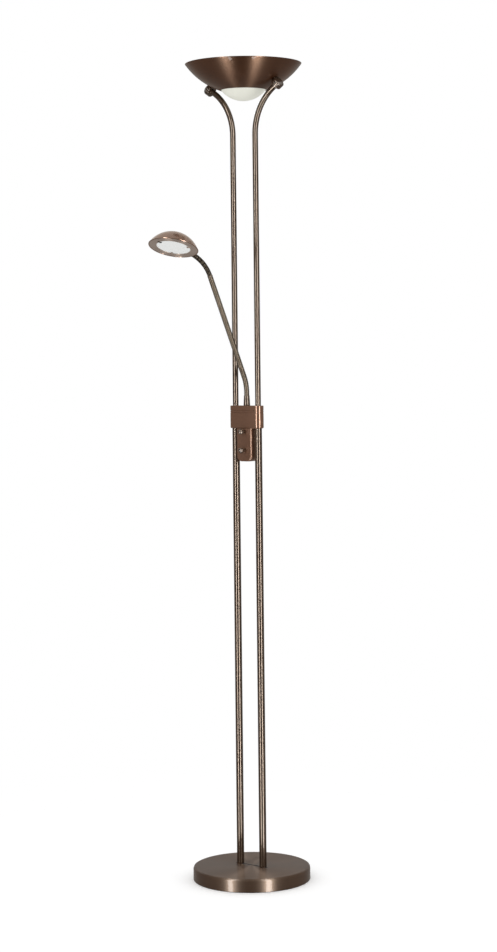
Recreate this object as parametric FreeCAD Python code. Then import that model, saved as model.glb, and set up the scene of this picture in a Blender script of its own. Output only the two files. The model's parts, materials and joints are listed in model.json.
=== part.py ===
import FreeCAD, Part
import os
from math import acos, asin, atan2, cos, radians, sin, sqrt, tan

# Torchiere floor lamp with a reading light: a weighted round base, two stems that curve
# out to carry an uplighter bowl, and a reading head on a bent arm with a flexible neck.
# Millimetres. The origin is the centre of the base's underside, +Z is up, the stems stand
# on the X axis, and the knobs, the arm and the reading head face -Y.

# ---------------------------------------------------------------- driving dimensions
lamp_height = 1800.0            # floor to the bowl's rim

base_diameter = 258.0
base_height = 30.0
base_edge_radius = 6.0
base_wall = 1.5
skirt_lift = 1.0                # the skirt stops this far above the floor
pad_thickness = 2.0
plate_thickness = 1.2
weight_thickness = 16.0
weight_side_gap = 1.0
plate_boss_diameter = 16.0
plate_screw_diameter = 4.0
plate_screw_head_diameter = 8.0
plate_screw_circle = 190.0
plate_screw_count = 3
gland_bore_diameter = 7.0
gland_diameter = 11.0
gland_flange_diameter = 15.0
gland_length = 12.0
gland_flange = 1.5
gland_height = 10.6
cable_turn = 20.0               # free depth for the lead behind the skirt
strip_width = 2.4
strip_overhang = 3.0            # the strip runs this far past each stem

stem_spacing = 63.0
lower_stem_diameter = 16.0
lower_stem_wall = 1.2
upper_stem_diameter = 12.7
upper_stem_wall = 1.3
bush_length = 18.0
nipple_diameter = 10.0
nipple_bore = 6.5
nipple_grip = 17.0              # length of thread inside each stem
nut_across_flats = 13.5
nut_height = 5.0
nut_flange_diameter = 20.0
nut_flange_thickness = 1.5

collar_width = 24.0
collar_bottom = 995.0
collar_height = 39.5
collar_wall = 2.0
collar_floor = 6.0
collar_edge_radius = 2.5
cap_height = 10.5
cap_thickness = 3.0
cap_rebate = 3.0                # the cap's inner lip reaches this far into the collar
groove_depth = 0.8
groove_width = 1.2
bead_height = 3.6               # plain band between the two grooves

housing_width = 41.5
housing_height = 73.0
housing_wall = 2.0
housing_corner_radius = 12.0
housing_edge_radius = 3.0
housing_cable_hole = 9.0
back_cover_thickness = 2.0
housing_screw_diameter = 3.0
housing_screw_head = 5.6
cover_screw_spacing = 30.0
knob_diameter = 12.0
knob_length = 15.0
knob_drop = 7.2                 # collar's underside to the upper knob's axis
knob_spacing = 41.3
knob_dome_height = 4.0
knob_gap = 0.4
shaft_diameter = 6.0
shaft_reach = 10.0              # shaft inside the knob
dimmer_body = 9.6
dimmer_depth = 6.5
dimmer_bush_diameter = 8.0
dimmer_bush_reach = 1.0         # bush proud of the housing's front
board_width = 34.0
board_height = 25.0
board_thickness = 1.6
capacitor_size = 8.0
terminal_width = 19.0
terminal_height = 9.0
terminal_depth = 11.0
terminal_ways = 3
terminal_hole = 3.4

socket_bottom_diameter = 14.6
socket_top_diameter = 12.6
socket_height = 22.0
socket_spigot = 6.0
arm_diameter = 12.0
arm_wall = 1.3
arm_lean = 27.6                 # degrees from vertical
arm_bend_radius = 80.0
arm_corner_height = 47.6        # cap's top to where the two straights would meet
arm_upper_length = 268.3        # from that corner to the end of the tube

neck_segments = 8
neck_pitch = 11.4               # pivot to pivot
neck_diameter = 10.6
neck_root_diameter = 9.2
neck_ribs = 4                   # on each link
neck_bore = 4.4
neck_ball_diameter = 7.8
neck_cup_depth = 0.6            # the cup passes the ball's middle by this much
neck_cup_diameter = 9.8
neck_relief = 2.4               # link's end to the next pivot
neck_end_lean = 70.0

head_diameter = 107.5
head_height = 34.0
head_wall = 1.0
head_neck_height = 11.4         # neck's axis above the head's rim
head_neck_reach = 44.0          # end of the neck to the head's axis
head_roll = -4.2                # head's turn on the neck, in degrees
ring_diameter = 104.0
ring_bore = 73.0
ring_thickness = 1.2
ring_inset = 0.5
lens_diameter = 79.0
lens_thickness = 3.0
clip_count = 3
clip_start = 254.0              # first clip, degrees from +X about the head's axis
clip_width = 4.0
clip_reach = 5.0
clip_thickness = 0.6
ferrule_diameter = 10.0
ferrule_length = 14.0
head_nut_across_flats = 11.0
head_nut_height = 3.0
reflector_diameter = 84.0
reflector_top_diameter = 44.0
reflector_wall = 0.6
reflector_height = 20.0
holder_diameter = 13.0
holder_length = 16.0
bulb_diameter = 12.0
bulb_length = 34.0

bowl_diameter = 258.0
bowl_sphere_radius = 158.0
bowl_wall = 1.0
bowl_opening = 101.0
saddle_lean = 34.0              # stem end above horizontal, and the saddle's place on the bowl
saddle_diameter = 26.0
saddle_length = 13.0
saddle_seat = 0.3               # depth of the seat cut into the saddle by the bowl
saddle_groove_depth = 1.6
saddle_groove_width = 1.0
saddle_disc_length = 3.2
saddle_edge_radius = 2.2
saddle_spigot = 10.0
stem_end_straight = 7.0
bolt_diameter = 7.0
bolt_bore = 3.0
bolt_head_across_flats = 12.0
bolt_head_height = 3.5
diffuser_depth = 24.5           # below the bowl's opening
diffuser_wall = 3.0
diffuser_lip = 7.5
bracket_width = 16.0
bracket_thickness = 1.5
bracket_rise = 14.5             # from the bowl's opening
lamp_length = 114.0
lamp_tube_diameter = 10.0
lamp_cap_length = 8.0
lamp_cap_diameter = 7.0
lamp_rise = 14.5                # lamp's axis above the bracket
holder_block_length = 14.0
holder_block_width = 18.0
holder_block_height = 24.0
guard_length = 148.0
guard_width = 64.0
guard_thickness = 3.0
guard_clip_width = 8.0
guard_clip_wall = 0.8
guard_clip_hook = 4.0
guard_clip_place = 35.0

seat_gap = 0.05                 # radial play of a piece that is screwed or pushed home
running_gap = 0.08              # radial play of a turning piece
swivel_gap = 0.15               # under the arm's socket

# ---------------------------------------------------------------- sizes worked out
stem_x = stem_spacing / 2
plate_bottom = pad_thickness
plate_top = plate_bottom + plate_thickness
weight_top = base_height - base_wall
weight_bottom = weight_top - weight_thickness
base_radius = base_diameter / 2
weight_radius = base_radius - base_wall - weight_side_gap
collar_top = collar_bottom + collar_height
cap_bottom = collar_top
cap_top = cap_bottom + cap_height
collar_radius = collar_width / 2
floor_top = collar_bottom + collar_floor
stem_recess = collar_floor / 2
housing_bottom = collar_bottom - housing_height
upper_knob_z = collar_bottom - knob_drop
lower_knob_z = upper_knob_z - knob_spacing
front_y = -collar_radius
back_y = collar_radius
bowl_radius = bowl_diameter / 2
bowl_centre_z = lamp_height + sqrt(bowl_sphere_radius ** 2 - bowl_radius ** 2)
bowl_inner_radius = bowl_sphere_radius - bowl_wall
opening_radius = bowl_opening / 2
opening_z = bowl_centre_z - sqrt(bowl_inner_radius ** 2 - opening_radius ** 2)

X_AXIS = FreeCAD.Vector(1, 0, 0)
Y_AXIS = FreeCAD.Vector(0, 1, 0)
UP = FreeCAD.Vector(0, 0, 1)
FRONT = FreeCAD.Vector(0, -1, 0)


# ---------------------------------------------------------------- helpers
def at(x, y, z):
    return FreeCAD.Vector(x, y, z)


def write(name, *solids):
    """Write one sub-part, a solid or a group of separate solids."""
    shape = solids[0] if len(solids) == 1 else Part.makeCompound(list(solids))
    assert shape.isValid(), name
    shape.exportStep(os.path.join("parts", name + ".step"))


def rod(diameter, length, foot, direction=UP):
    return Part.makeCylinder(diameter / 2, length, foot, direction)


def sleeve(outer, bore, length, foot, direction=UP):
    return rod(outer, length, foot, direction).cut(rod(bore, length, foot, direction))


def block(width, depth, height, centre_x, centre_y, bottom):
    corner = at(centre_x - width / 2, centre_y - depth / 2, bottom)
    return Part.makeBox(width, depth, height, corner)


def hexagon(across_flats, height, foot, direction=UP, bore=0.0):
    """A hexagonal prism, with a round bore when one is asked for."""
    radius = across_flats / sqrt(3)
    corners = [at(radius * cos(radians(60 * i)), radius * sin(radians(60 * i)), 0) for i in range(7)]
    prism = Part.Face(Part.makePolygon(corners)).extrude(at(0, 0, height))
    if bore:
        prism = prism.cut(rod(bore, height, at(0, 0, 0)))
    prism.Placement = FreeCAD.Placement(foot, FreeCAD.Rotation(UP, direction))
    return prism


def stadium(spacing, radius, bottom, height):
    """An upright slab with straight sides and half-round ends at x = -+spacing/2."""
    half = spacing / 2
    edges = [
        Part.LineSegment(at(-half, -radius, bottom), at(half, -radius, bottom)),
        Part.Arc(at(half, -radius, bottom), at(half + radius, 0, bottom), at(half, radius, bottom)),
        Part.LineSegment(at(half, radius, bottom), at(-half, radius, bottom)),
        Part.Arc(at(-half, radius, bottom), at(-half - radius, 0, bottom), at(-half, -radius, bottom)),
    ]
    wire = Part.Wire([edge.toShape() for edge in edges])
    return Part.Face(wire).extrude(at(0, 0, height))


def line(start, end):
    return Part.LineSegment(at(start[0], 0, start[1]), at(end[0], 0, end[1])).toShape()


def arc(start, middle, end):
    points = [at(point[0], 0, point[1]) for point in (start, middle, end)]
    return Part.Arc(*points).toShape()


def outline(*points):
    """Straight edges through (radius, height) points."""
    return [line(a, b) for a, b in zip(points, points[1:])]


def turned(edges, place=None):
    """Turn a closed profile in the XZ plane about Z, then put it in place."""
    solid = Part.Face(Part.Wire(edges)).revolve(at(0, 0, 0), UP, 360)
    if place is not None:
        solid.Placement = place
    return solid


def on_circle(radius, height_of_centre, r):
    """The height of the lower half of a circle about the axis, at radius r."""
    return height_of_centre - sqrt(radius ** 2 - r ** 2)


def bent_rod(diameter, points_and_bends):
    """A round rod swept along straights and arcs, given as ready edges."""
    path = Part.Wire(points_and_bends)
    first = path.Edges[0]
    start = first.valueAt(first.FirstParameter)
    direction = first.tangentAt(first.FirstParameter)
    circle = Part.Wire(Part.makeCircle(diameter / 2, start, direction))
    return path.makePipeShell([circle], True, False)


# ---------------------------------------------------------------- base
def base_screw_places():
    radius = plate_screw_circle / 2
    step = 360 / plate_screw_count
    angles = [radians(90 + step / 2 + step * i) for i in range(plate_screw_count)]
    return [(radius * cos(angle), radius * sin(angle)) for angle in angles]


def make_base():
    inner_radius = base_radius - base_wall
    inner_edge = max(base_edge_radius - base_wall, base_wall)
    slope = cos(radians(45))

    def top_corner(radius, top, edge):
        """The rounded corner between a flat top and an upright side."""
        middle = (radius - edge + edge * slope, top - edge + edge * slope)
        return (radius, top - edge), middle, (radius - edge, top)

    side, middle, flat = top_corner(base_radius, base_height, base_edge_radius)
    inner_side, inner_middle, inner_flat = top_corner(inner_radius, weight_top, inner_edge)
    cover = turned(
        outline((inner_radius, skirt_lift), (base_radius, skirt_lift), side)
        + [arc(side, middle, flat)]
        + outline(flat, (0, base_height), (0, weight_top), inner_flat)
        + [arc(inner_flat, inner_middle, inner_side)]
        + outline(inner_side, (inner_radius, skirt_lift))
    )

    weight_edge = inner_edge + weight_side_gap
    side, middle, flat = top_corner(weight_radius, weight_top, weight_edge)
    weight = turned(
        outline((0, weight_bottom), (weight_radius, weight_bottom), side)
        + [arc(side, middle, flat)]
        + outline(flat, (0, weight_top), (0, weight_bottom))
    )
    plate = rod(2 * weight_radius, plate_thickness, at(0, 0, plate_bottom))
    pad = rod(2 * weight_radius, pad_thickness, at(0, 0, 0))

    strip_length = stem_spacing + lower_stem_diameter + 2 * strip_overhang
    strip = stadium(strip_length - strip_width, strip_width / 2, weight_top, base_wall)
    slot = stadium(strip_length - strip_width, strip_width / 2 + seat_gap, weight_top, base_wall)
    cover = cover.cut(slot)

    screws = []
    for x, y in base_screw_places():
        weight = weight.fuse(rod(plate_boss_diameter, weight_bottom - plate_top, at(x, y, plate_top)))
        screw_top = weight_bottom + plate_screw_diameter
        hole_length = screw_top - plate_bottom
        hole = rod(plate_screw_diameter + 2 * seat_gap, hole_length, at(x, y, plate_bottom))
        weight = weight.cut(hole)
        plate = plate.cut(hole)
        head = rod(plate_screw_head_diameter, pad_thickness / 2, at(x, y, pad_thickness / 2))
        shank = rod(plate_screw_diameter, hole_length, at(x, y, plate_bottom))
        screws.append(head.fuse(shank))
        pad = pad.cut(rod(plate_screw_head_diameter + 1, pad_thickness / 2, at(x, y, pad_thickness / 2)))

    nut_bottom = weight_bottom - nut_height
    nipple_top = base_height + nipple_grip
    nipples = []
    nuts = []
    for x in (-stem_x, stem_x):
        clearance = rod(nipple_diameter + 2 * seat_gap, base_height, at(x, 0, plate_top))
        cover = cover.cut(clearance)
        weight = weight.cut(clearance)
        strip = strip.cut(clearance)
        nipples.append(sleeve(nipple_diameter, nipple_bore, nipple_top - nut_bottom, at(x, 0, nut_bottom)))
        flange_foot = at(x, 0, weight_bottom - nut_flange_thickness)
        nut = hexagon(nut_across_flats, nut_height, at(x, 0, nut_bottom))
        nut = nut.fuse(rod(nut_flange_diameter, nut_flange_thickness, flange_foot))
        nuts.append(nut.cut(clearance))

    # The gland grips the skirt between an outer flange and an inner lip.
    gland_foot = at(0, base_radius + gland_flange, gland_height)
    gland = rod(gland_flange_diameter, gland_flange, gland_foot, FRONT)
    gland = gland.fuse(rod(gland_diameter, gland_length, gland_foot, FRONT))
    lip_diameter = gland_diameter + 2 * gland_flange
    lip_foot = gland_foot - Y_AXIS * (2 * gland_flange)
    gland = gland.fuse(rod(lip_diameter, gland_flange + base_wall, lip_foot, FRONT))
    skirt_hole = at(0, base_radius - 2 * base_wall, gland_height)
    cover = cover.cut(rod(gland_diameter + 2 * seat_gap, 2 * base_wall, skirt_hole, Y_AXIS))
    gland = gland.cut(rod(gland_bore_diameter, gland_length, gland_foot, FRONT)).cut(cover)
    pocket_diameter = gland_flange_diameter + 2 * weight_side_gap
    pocket_foot = at(0, base_radius - base_wall, gland_height)
    weight = weight.cut(rod(pocket_diameter, cable_turn, pocket_foot, FRONT))

    write("base_cover", cover)
    write("base_weight", weight.removeSplitter())
    write("base_plate", plate)
    write("base_pad", pad)
    write("plate_screws", *screws)
    write("locating_strip", *strip.Solids)
    write("stem_nipples", *nipples)
    write("base_nuts", *nuts)
    write("cable_gland", gland)


# ---------------------------------------------------------------- stems
def saddle_centre(side):
    """Where the saddle's axis passes the bowl's normal, for side -1 or 1."""
    reach = bowl_sphere_radius + saddle_diameter / 2 - saddle_seat
    lean = radians(saddle_lean)
    return at(side * reach * sin(lean), 0, bowl_centre_z - reach * cos(lean))


def stem_end_direction(side):
    return at(side * cos(radians(saddle_lean)), 0, sin(radians(saddle_lean)))


def upper_stem_path(side):
    """Up from the cap, round the outward bend and on to the saddle."""
    turn = radians(90 - saddle_lean)
    outwards = stem_end_direction(side)
    end = saddle_centre(side) - outwards * (saddle_length / 2)
    bend_end = end - outwards * stem_end_straight
    bend_radius = (abs(bend_end.x) - stem_x) / (1 - cos(turn))
    bend_z = bend_end.z - bend_radius * sin(turn)
    middle_x = stem_x + bend_radius * (1 - cos(turn / 2))
    middle = at(side * middle_x, 0, bend_z + bend_radius * sin(turn / 2))
    foot = at(side * stem_x, 0, cap_top)
    bend_start = at(side * stem_x, 0, bend_z)
    return [
        Part.LineSegment(foot, bend_start).toShape(),
        Part.Arc(bend_start, middle, bend_end).toShape(),
        Part.LineSegment(bend_end, end).toShape(),
    ]


def make_stems():
    lower_bore = lower_stem_diameter - 2 * lower_stem_wall
    upper_bore = upper_stem_diameter - 2 * upper_stem_wall
    lower_top = collar_bottom + stem_recess
    bushes = []
    for side, name in ((-1, "left"), (1, "right")):
        x = side * stem_x
        tube = sleeve(lower_stem_diameter, lower_bore, lower_top - base_height, at(x, 0, base_height))
        write("lower_stem_" + name, tube)
        for foot in (base_height, lower_top - bush_length):
            bush_outer = lower_bore - 2 * seat_gap
            bush_bore = nipple_diameter + 2 * seat_gap
            bushes.append(sleeve(bush_outer, bush_bore, bush_length, at(x, 0, foot)))
        path = upper_stem_path(side)
        upper = bent_rod(upper_stem_diameter, path).cut(bent_rod(upper_bore, path))
        write("upper_stem_" + name, upper)
    write("stem_bushes", *bushes)


# ---------------------------------------------------------------- junction and switch housing
def lower_edges(solid, height):
    """The edges of a solid that lie wholly at one height."""
    return [edge for edge in solid.Edges
            if abs(edge.BoundBox.ZMin - height) < 1e-6 and abs(edge.BoundBox.ZMax - height) < 1e-6]


def make_junction():
    inner = collar_radius - collar_wall
    body = stadium(stem_spacing, collar_radius, collar_bottom, collar_height)
    body = body.makeFillet(collar_edge_radius, lower_edges(body, collar_bottom))
    body = body.cut(stadium(stem_spacing, inner, floor_top, collar_height))
    for bottom in (collar_top - groove_width, collar_top - 2 * groove_width - bead_height):
        band = stadium(stem_spacing, collar_radius, bottom, groove_width)
        core = stadium(stem_spacing, collar_radius - groove_depth, bottom, groove_width)
        body = body.cut(band.cut(core))

    cap = stadium(stem_spacing, collar_radius, cap_bottom, cap_height)
    cap = cap.makeFillet(groove_depth, lower_edges(cap, cap_top))
    lip = stadium(stem_spacing, inner - seat_gap, cap_bottom - cap_rebate, cap_rebate)
    cap = cap.fuse(lip)
    hollow_height = cap_rebate + cap_height - cap_thickness
    cap = cap.cut(stadium(stem_spacing, inner - collar_wall, cap_bottom - cap_rebate, hollow_height))
    cap = cap.cut(rod(nipple_diameter + 2 * running_gap, cap_height, at(0, 0, cap_bottom)))

    nipple_bottom = collar_bottom + stem_recess - nipple_grip
    nipple_length = cap_top + nipple_grip - nipple_bottom
    nipples = []
    nuts = []
    for x in (-stem_x, stem_x):
        clearance = rod(nipple_diameter + 2 * seat_gap, nipple_length, at(x, 0, nipple_bottom))
        recess = rod(lower_stem_diameter + 2 * seat_gap, stem_recess, at(x, 0, collar_bottom))
        body = body.cut(clearance).cut(recess)
        cap = cap.cut(clearance)
        nipples.append(sleeve(nipple_diameter, nipple_bore, nipple_length, at(x, 0, nipple_bottom)))
        nuts.append(hexagon(nut_across_flats, nut_height, at(x, 0, floor_top)).cut(clearance))
    body = body.cut(rod(housing_cable_hole, collar_floor, at(0, 0, collar_bottom)))
    return body, cap, nipples, nuts


def housing_outline(inset, y, depth):
    """The housing's front shape, square at the top and rounded below, pushed back along Y."""
    half = housing_width / 2 - inset
    bottom = housing_bottom + inset
    radius = housing_corner_radius - inset
    slope = radius * (1 - cos(radians(45)))
    right = at(half, y, bottom + radius)
    left = at(-half, y, bottom + radius)
    edges = [
        Part.LineSegment(at(-half, y, collar_bottom - inset), at(half, y, collar_bottom - inset)),
        Part.LineSegment(at(half, y, collar_bottom - inset), right),
        Part.Arc(right, at(half - slope, y, bottom + slope), at(half - radius, y, bottom)),
        Part.LineSegment(at(half - radius, y, bottom), at(radius - half, y, bottom)),
        Part.Arc(at(radius - half, y, bottom), at(slope - half, y, bottom + slope), left),
        Part.LineSegment(left, at(-half, y, collar_bottom - inset)),
    ]
    return Part.Face(Part.Wire([edge.toShape() for edge in edges])).extrude(at(0, depth, 0))


def make_dimmer(knob_z, board_bottom):
    """A rotary dimmer: bush and body behind the front wall, on its board with two parts."""
    wall_inside = front_y + housing_wall
    body = block(dimmer_body, dimmer_depth, dimmer_body, 0, wall_inside + seat_gap + dimmer_depth / 2,
                 knob_z - dimmer_body / 2)
    bush_foot = at(0, front_y - dimmer_bush_reach, knob_z)
    bush_length_here = dimmer_bush_reach + housing_wall + dimmer_depth / 2
    body = body.fuse(rod(dimmer_bush_diameter, bush_length_here, bush_foot, Y_AXIS))
    board_y = wall_inside + seat_gap + dimmer_depth + board_thickness / 2
    body = body.fuse(block(board_width, board_thickness, board_height, 0, board_y, board_bottom))
    part_y = board_y + board_thickness / 2 + capacitor_size / 4
    for x in (-board_width / 4, board_width / 4):
        part_z = board_bottom + board_height / 2 - capacitor_size / 2
        body = body.fuse(block(capacitor_size, capacitor_size / 2, capacitor_size, x, part_y, part_z))
    bore_depth = dimmer_bush_reach + housing_wall + dimmer_depth / 2
    return body.cut(rod(shaft_diameter + 2 * running_gap, bore_depth, bush_foot, Y_AXIS)).removeSplitter()


def make_knob(knob_z):
    """A domed knob and the shaft that it turns."""
    back = front_y - dimmer_bush_reach - knob_gap
    radius = knob_diameter / 2
    dome_radius = (radius ** 2 + knob_dome_height ** 2) / (2 * knob_dome_height)
    side_length = knob_length - knob_dome_height
    half_angle = asin(radius / dome_radius) / 2
    dome_middle = (dome_radius * sin(half_angle), knob_length - dome_radius * (1 - cos(half_angle)))
    bore = shaft_diameter / 2 + seat_gap
    knob = turned(
        outline((bore, 0), (radius, 0), (radius, side_length))
        + [arc((radius, side_length), dome_middle, (0, knob_length))]
        + outline((0, knob_length), (0, shaft_reach), (bore, shaft_reach), (bore, 0)),
        FreeCAD.Placement(at(0, back, knob_z), FreeCAD.Rotation(UP, FRONT)),
    )
    inner_end = front_y + housing_wall
    shaft_foot = at(0, inner_end, knob_z)
    shaft = rod(shaft_diameter, inner_end - back + shaft_reach - seat_gap, shaft_foot, FRONT)
    return knob, shaft


def make_housing(collar, cap, nipples, nuts):
    depth = collar_width - back_cover_thickness
    shell = housing_outline(0, front_y, depth)
    front_edges = [edge for edge in shell.Edges
                   if abs(edge.BoundBox.YMin - front_y) < 1e-6 and abs(edge.BoundBox.YMax - front_y) < 1e-6
                   and edge.BoundBox.ZMin < collar_bottom - housing_wall]
    shell = shell.makeFillet(housing_edge_radius, front_edges)
    shell = shell.cut(housing_outline(housing_wall, front_y + housing_wall, collar_width))
    shell = shell.cut(rod(housing_cable_hole, housing_height / 4, at(0, 0, collar_bottom - housing_wall)))

    cover = housing_outline(0, back_y - back_cover_thickness, back_cover_thickness)
    screws = []
    head = housing_screw_head
    for x in (-cover_screw_spacing / 2, cover_screw_spacing / 2):
        foot = at(x, 0, collar_bottom - housing_wall)
        length = housing_wall + collar_floor
        hole = rod(housing_screw_diameter + 2 * seat_gap, length, foot)
        shell = shell.cut(hole)
        collar = collar.cut(hole)
        screw = rod(housing_screw_diameter, length, foot).fuse(rod(head, head / 3, at(x, 0, floor_top)))
        screws.append(screw)

    boss_size = 2 * housing_screw_diameter
    boss_x = housing_width / 2 - housing_wall - boss_size / 2
    boss_z = housing_bottom + housing_height / 2
    for x in (-boss_x, boss_x):
        boss_back = back_y - back_cover_thickness
        boss_depth = capacitor_size
        boss_y = boss_back - boss_depth / 2
        post = block(boss_size, boss_depth, boss_size, x, boss_y, boss_z - boss_size / 2)
        shell = shell.fuse(post)
        length = boss_depth + back_cover_thickness
        hole = rod(housing_screw_diameter + 2 * seat_gap, length, at(x, back_y, boss_z), FRONT)
        shell = shell.cut(hole)
        cover = cover.cut(hole)
        shank = rod(housing_screw_diameter, length, at(x, back_y, boss_z), FRONT)
        screws.append(shank.fuse(rod(head, head / 3, at(x, back_y, boss_z), Y_AXIS)))

    lower_board = lower_knob_z - board_height / 2
    upper_board = collar_bottom - housing_wall - seat_gap - board_height
    dials = (("upper", upper_knob_z, upper_board), ("lower", lower_knob_z, lower_board))
    for name, knob_z, board_bottom in dials:
        bush_hole = rod(dimmer_bush_diameter + 2 * seat_gap, housing_wall, at(0, front_y, knob_z), Y_AXIS)
        shell = shell.cut(bush_hole)
        write("dimmer_" + name, make_dimmer(knob_z, board_bottom))
        knob, shaft = make_knob(knob_z)
        write(name + "_knob", knob)
        write(name + "_knob_shaft", shaft)

    terminal_bottom = housing_bottom + housing_wall + seat_gap
    terminal = block(terminal_width, terminal_depth, terminal_height, 0, 0, terminal_bottom)
    pitch = terminal_width / terminal_ways
    for way in range(terminal_ways):
        x = pitch * (way - (terminal_ways - 1) / 2)
        middle_z = terminal_bottom + terminal_height / 2
        hole_foot = at(x, terminal_depth / 2, middle_z)
        terminal = terminal.cut(rod(terminal_hole, terminal_depth, hole_foot, FRONT))
        terminal = terminal.cut(rod(terminal_hole, terminal_height, at(x, 0, middle_z)))

    write("junction_collar", collar)
    write("junction_cap", cap)
    write("junction_nipples", *nipples)
    write("junction_nuts", *nuts)
    write("switch_housing", shell.removeSplitter())
    write("housing_back_cover", cover)
    write("housing_screws", *screws)
    write("terminal_block", terminal)


# ---------------------------------------------------------------- reading arm and neck
def leaning(angle):
    """The direction that leans forwards from vertical by an angle in degrees."""
    return at(0, -sin(radians(angle)), cos(radians(angle)))


def arm_path():
    corner = at(0, 0, cap_top + arm_corner_height)
    reach = arm_bend_radius * tan(radians(arm_lean / 2))
    start = at(0, 0, cap_top + swivel_gap + socket_height)
    bend_start = corner - UP * reach
    bend_end = corner + leaning(arm_lean) * reach
    half = radians(arm_lean / 2)
    middle = bend_start + at(0, -arm_bend_radius * (1 - cos(half)), arm_bend_radius * sin(half))
    end = corner + leaning(arm_lean) * arm_upper_length
    edges = [
        Part.LineSegment(start, bend_start).toShape(),
        Part.Arc(bend_start, middle, bend_end).toShape(),
        Part.LineSegment(bend_end, end).toShape(),
    ]
    return edges, end


def neck_lean(link):
    """Each link leans further than the last, quickly at first and then hardly at all."""
    return arm_lean + (neck_end_lean - arm_lean) * sin(radians(90 * link / neck_segments))


def neck_pivots():
    """The pivot at the foot of each link, and the neck's end."""
    edges, tube_end = arm_path()
    places = [tube_end + leaning(arm_lean) * neck_relief]
    for link in range(1, neck_segments + 1):
        places.append(places[-1] + leaning(neck_lean(link)) * neck_pitch)
    return places


def placed(place, angle):
    return FreeCAD.Placement(place, FreeCAD.Rotation(X_AXIS, angle))


def ball_end(pivot, foot_height, foot_radius):
    """The profile from a shoulder over a ball to the bore: ready edges, shoulder outwards in."""
    ball = neck_ball_diameter / 2
    bore = neck_bore / 2
    waist = sqrt(ball ** 2 - (pivot - foot_height) ** 2)
    crown = pivot + sqrt(ball ** 2 - bore ** 2)
    return [
        line((foot_radius, foot_height), (waist, foot_height)),
        arc((waist, foot_height), (ball, pivot), (bore, crown)),
    ]


def make_link(link, place):
    """One link of the neck: a cup below, V-shaped ribs outside, a ball on top."""
    bore = neck_bore / 2
    cup = neck_ball_diameter / 2 + running_gap
    rim = sqrt(cup ** 2 - neck_cup_depth ** 2)
    cup_floor = sqrt(cup ** 2 - bore ** 2)
    root = neck_root_diameter / 2
    crest = neck_diameter / 2
    rib_pitch = neck_pitch / neck_ribs
    is_last = link == neck_segments
    rib_count = neck_ribs - 1 if is_last else neck_ribs
    points = [(rim, -neck_cup_depth), (neck_cup_diameter / 2, -neck_cup_depth)]
    for rib in range(rib_count):
        points += [(crest, rib * rib_pitch), (root, (rib + 0.5) * rib_pitch)]
    if is_last:
        # The last link ends in a plain ferrule that passes through the head's shell.
        crown = neck_pitch + ferrule_length
        ferrule = ferrule_diameter / 2
        points[-1] = (ferrule, points[-1][1])
        profile = outline(*points, (ferrule, crown), (bore, crown))
    else:
        shoulder = (neck_cup_diameter / 2, neck_pitch - neck_relief)
        points[-1] = shoulder
        crown = neck_pitch + sqrt((neck_ball_diameter / 2) ** 2 - bore ** 2)
        profile = outline(*points) + ball_end(neck_pitch, shoulder[1], shoulder[0])
    profile += outline((bore, crown), (bore, cup_floor))
    cup_side = (sqrt(cup ** 2 - bore ** 2 / 4), bore / 2)
    profile.append(arc((bore, cup_floor), cup_side, (rim, -neck_cup_depth)))
    return turned(profile, place)


def make_arm():
    bore = arm_diameter - 2 * arm_wall
    edges, tube_end = arm_path()
    write("arm_tube", bent_rod(arm_diameter, edges).cut(bent_rod(bore, edges)))

    bottom = socket_bottom_diameter / 2
    top = socket_top_diameter / 2
    spigot = bore / 2 - seat_gap
    hollow = nipple_bore / 2
    thread = nipple_diameter / 2
    thread_bottom = -(swivel_gap + cap_thickness + nut_height + swivel_gap)
    ring_step = socket_height / 12
    groove = arm_wall / 3
    points = [(hollow, thread_bottom), (thread, thread_bottom), (thread, 0), (bottom, 0)]
    for ring in (4, 2):
        low = socket_height - ring * ring_step
        radius = bottom + (top - bottom) * low / socket_height
        points += [(radius, low), (radius - groove, low), (radius - groove, low + ring_step / 2),
                   (radius, low + ring_step / 2)]
    points += [(top, socket_height), (spigot, socket_height), (spigot, socket_height + socket_spigot),
               (hollow, socket_height + socket_spigot), (hollow, thread_bottom)]
    place = placed(at(0, 0, cap_top + swivel_gap), 0)
    write("arm_socket", turned(outline(*points), place))
    nut_foot = at(0, 0, cap_top - cap_thickness - swivel_gap - nut_height)
    nut_bore = nipple_diameter + 2 * seat_gap
    write("arm_nut", hexagon(nut_across_flats, nut_height, nut_foot, UP, nut_bore))

    plug_length = socket_spigot
    plug_outer = bore / 2 - seat_gap
    crown = neck_relief + sqrt((neck_ball_diameter / 2) ** 2 - (neck_bore / 2) ** 2)
    profile = (
        outline((neck_bore / 2, -plug_length), (plug_outer, -plug_length), (plug_outer, 0))
        + ball_end(neck_relief, 0, plug_outer)
        + outline((neck_bore / 2, crown), (neck_bore / 2, -plug_length))
    )
    write("neck_plug", turned(profile, placed(tube_end, arm_lean)))

    pivots = neck_pivots()
    for link in range(1, neck_segments + 1):
        place = placed(pivots[link - 1], neck_lean(link))
        write("gooseneck_%d" % link, make_link(link, place))


# ---------------------------------------------------------------- reading head
def head_place():
    """The head's frame: its rim's centre, with +Z out through the dome and the neck at +Y."""
    end = neck_pivots()[-1]
    tilt = FreeCAD.Rotation(X_AXIS, neck_end_lean - 90)
    turn = tilt.multiply(FreeCAD.Rotation(Y_AXIS, head_roll))
    return FreeCAD.Placement(end - turn.multVec(at(0, head_neck_reach, head_neck_height)), turn)


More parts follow.
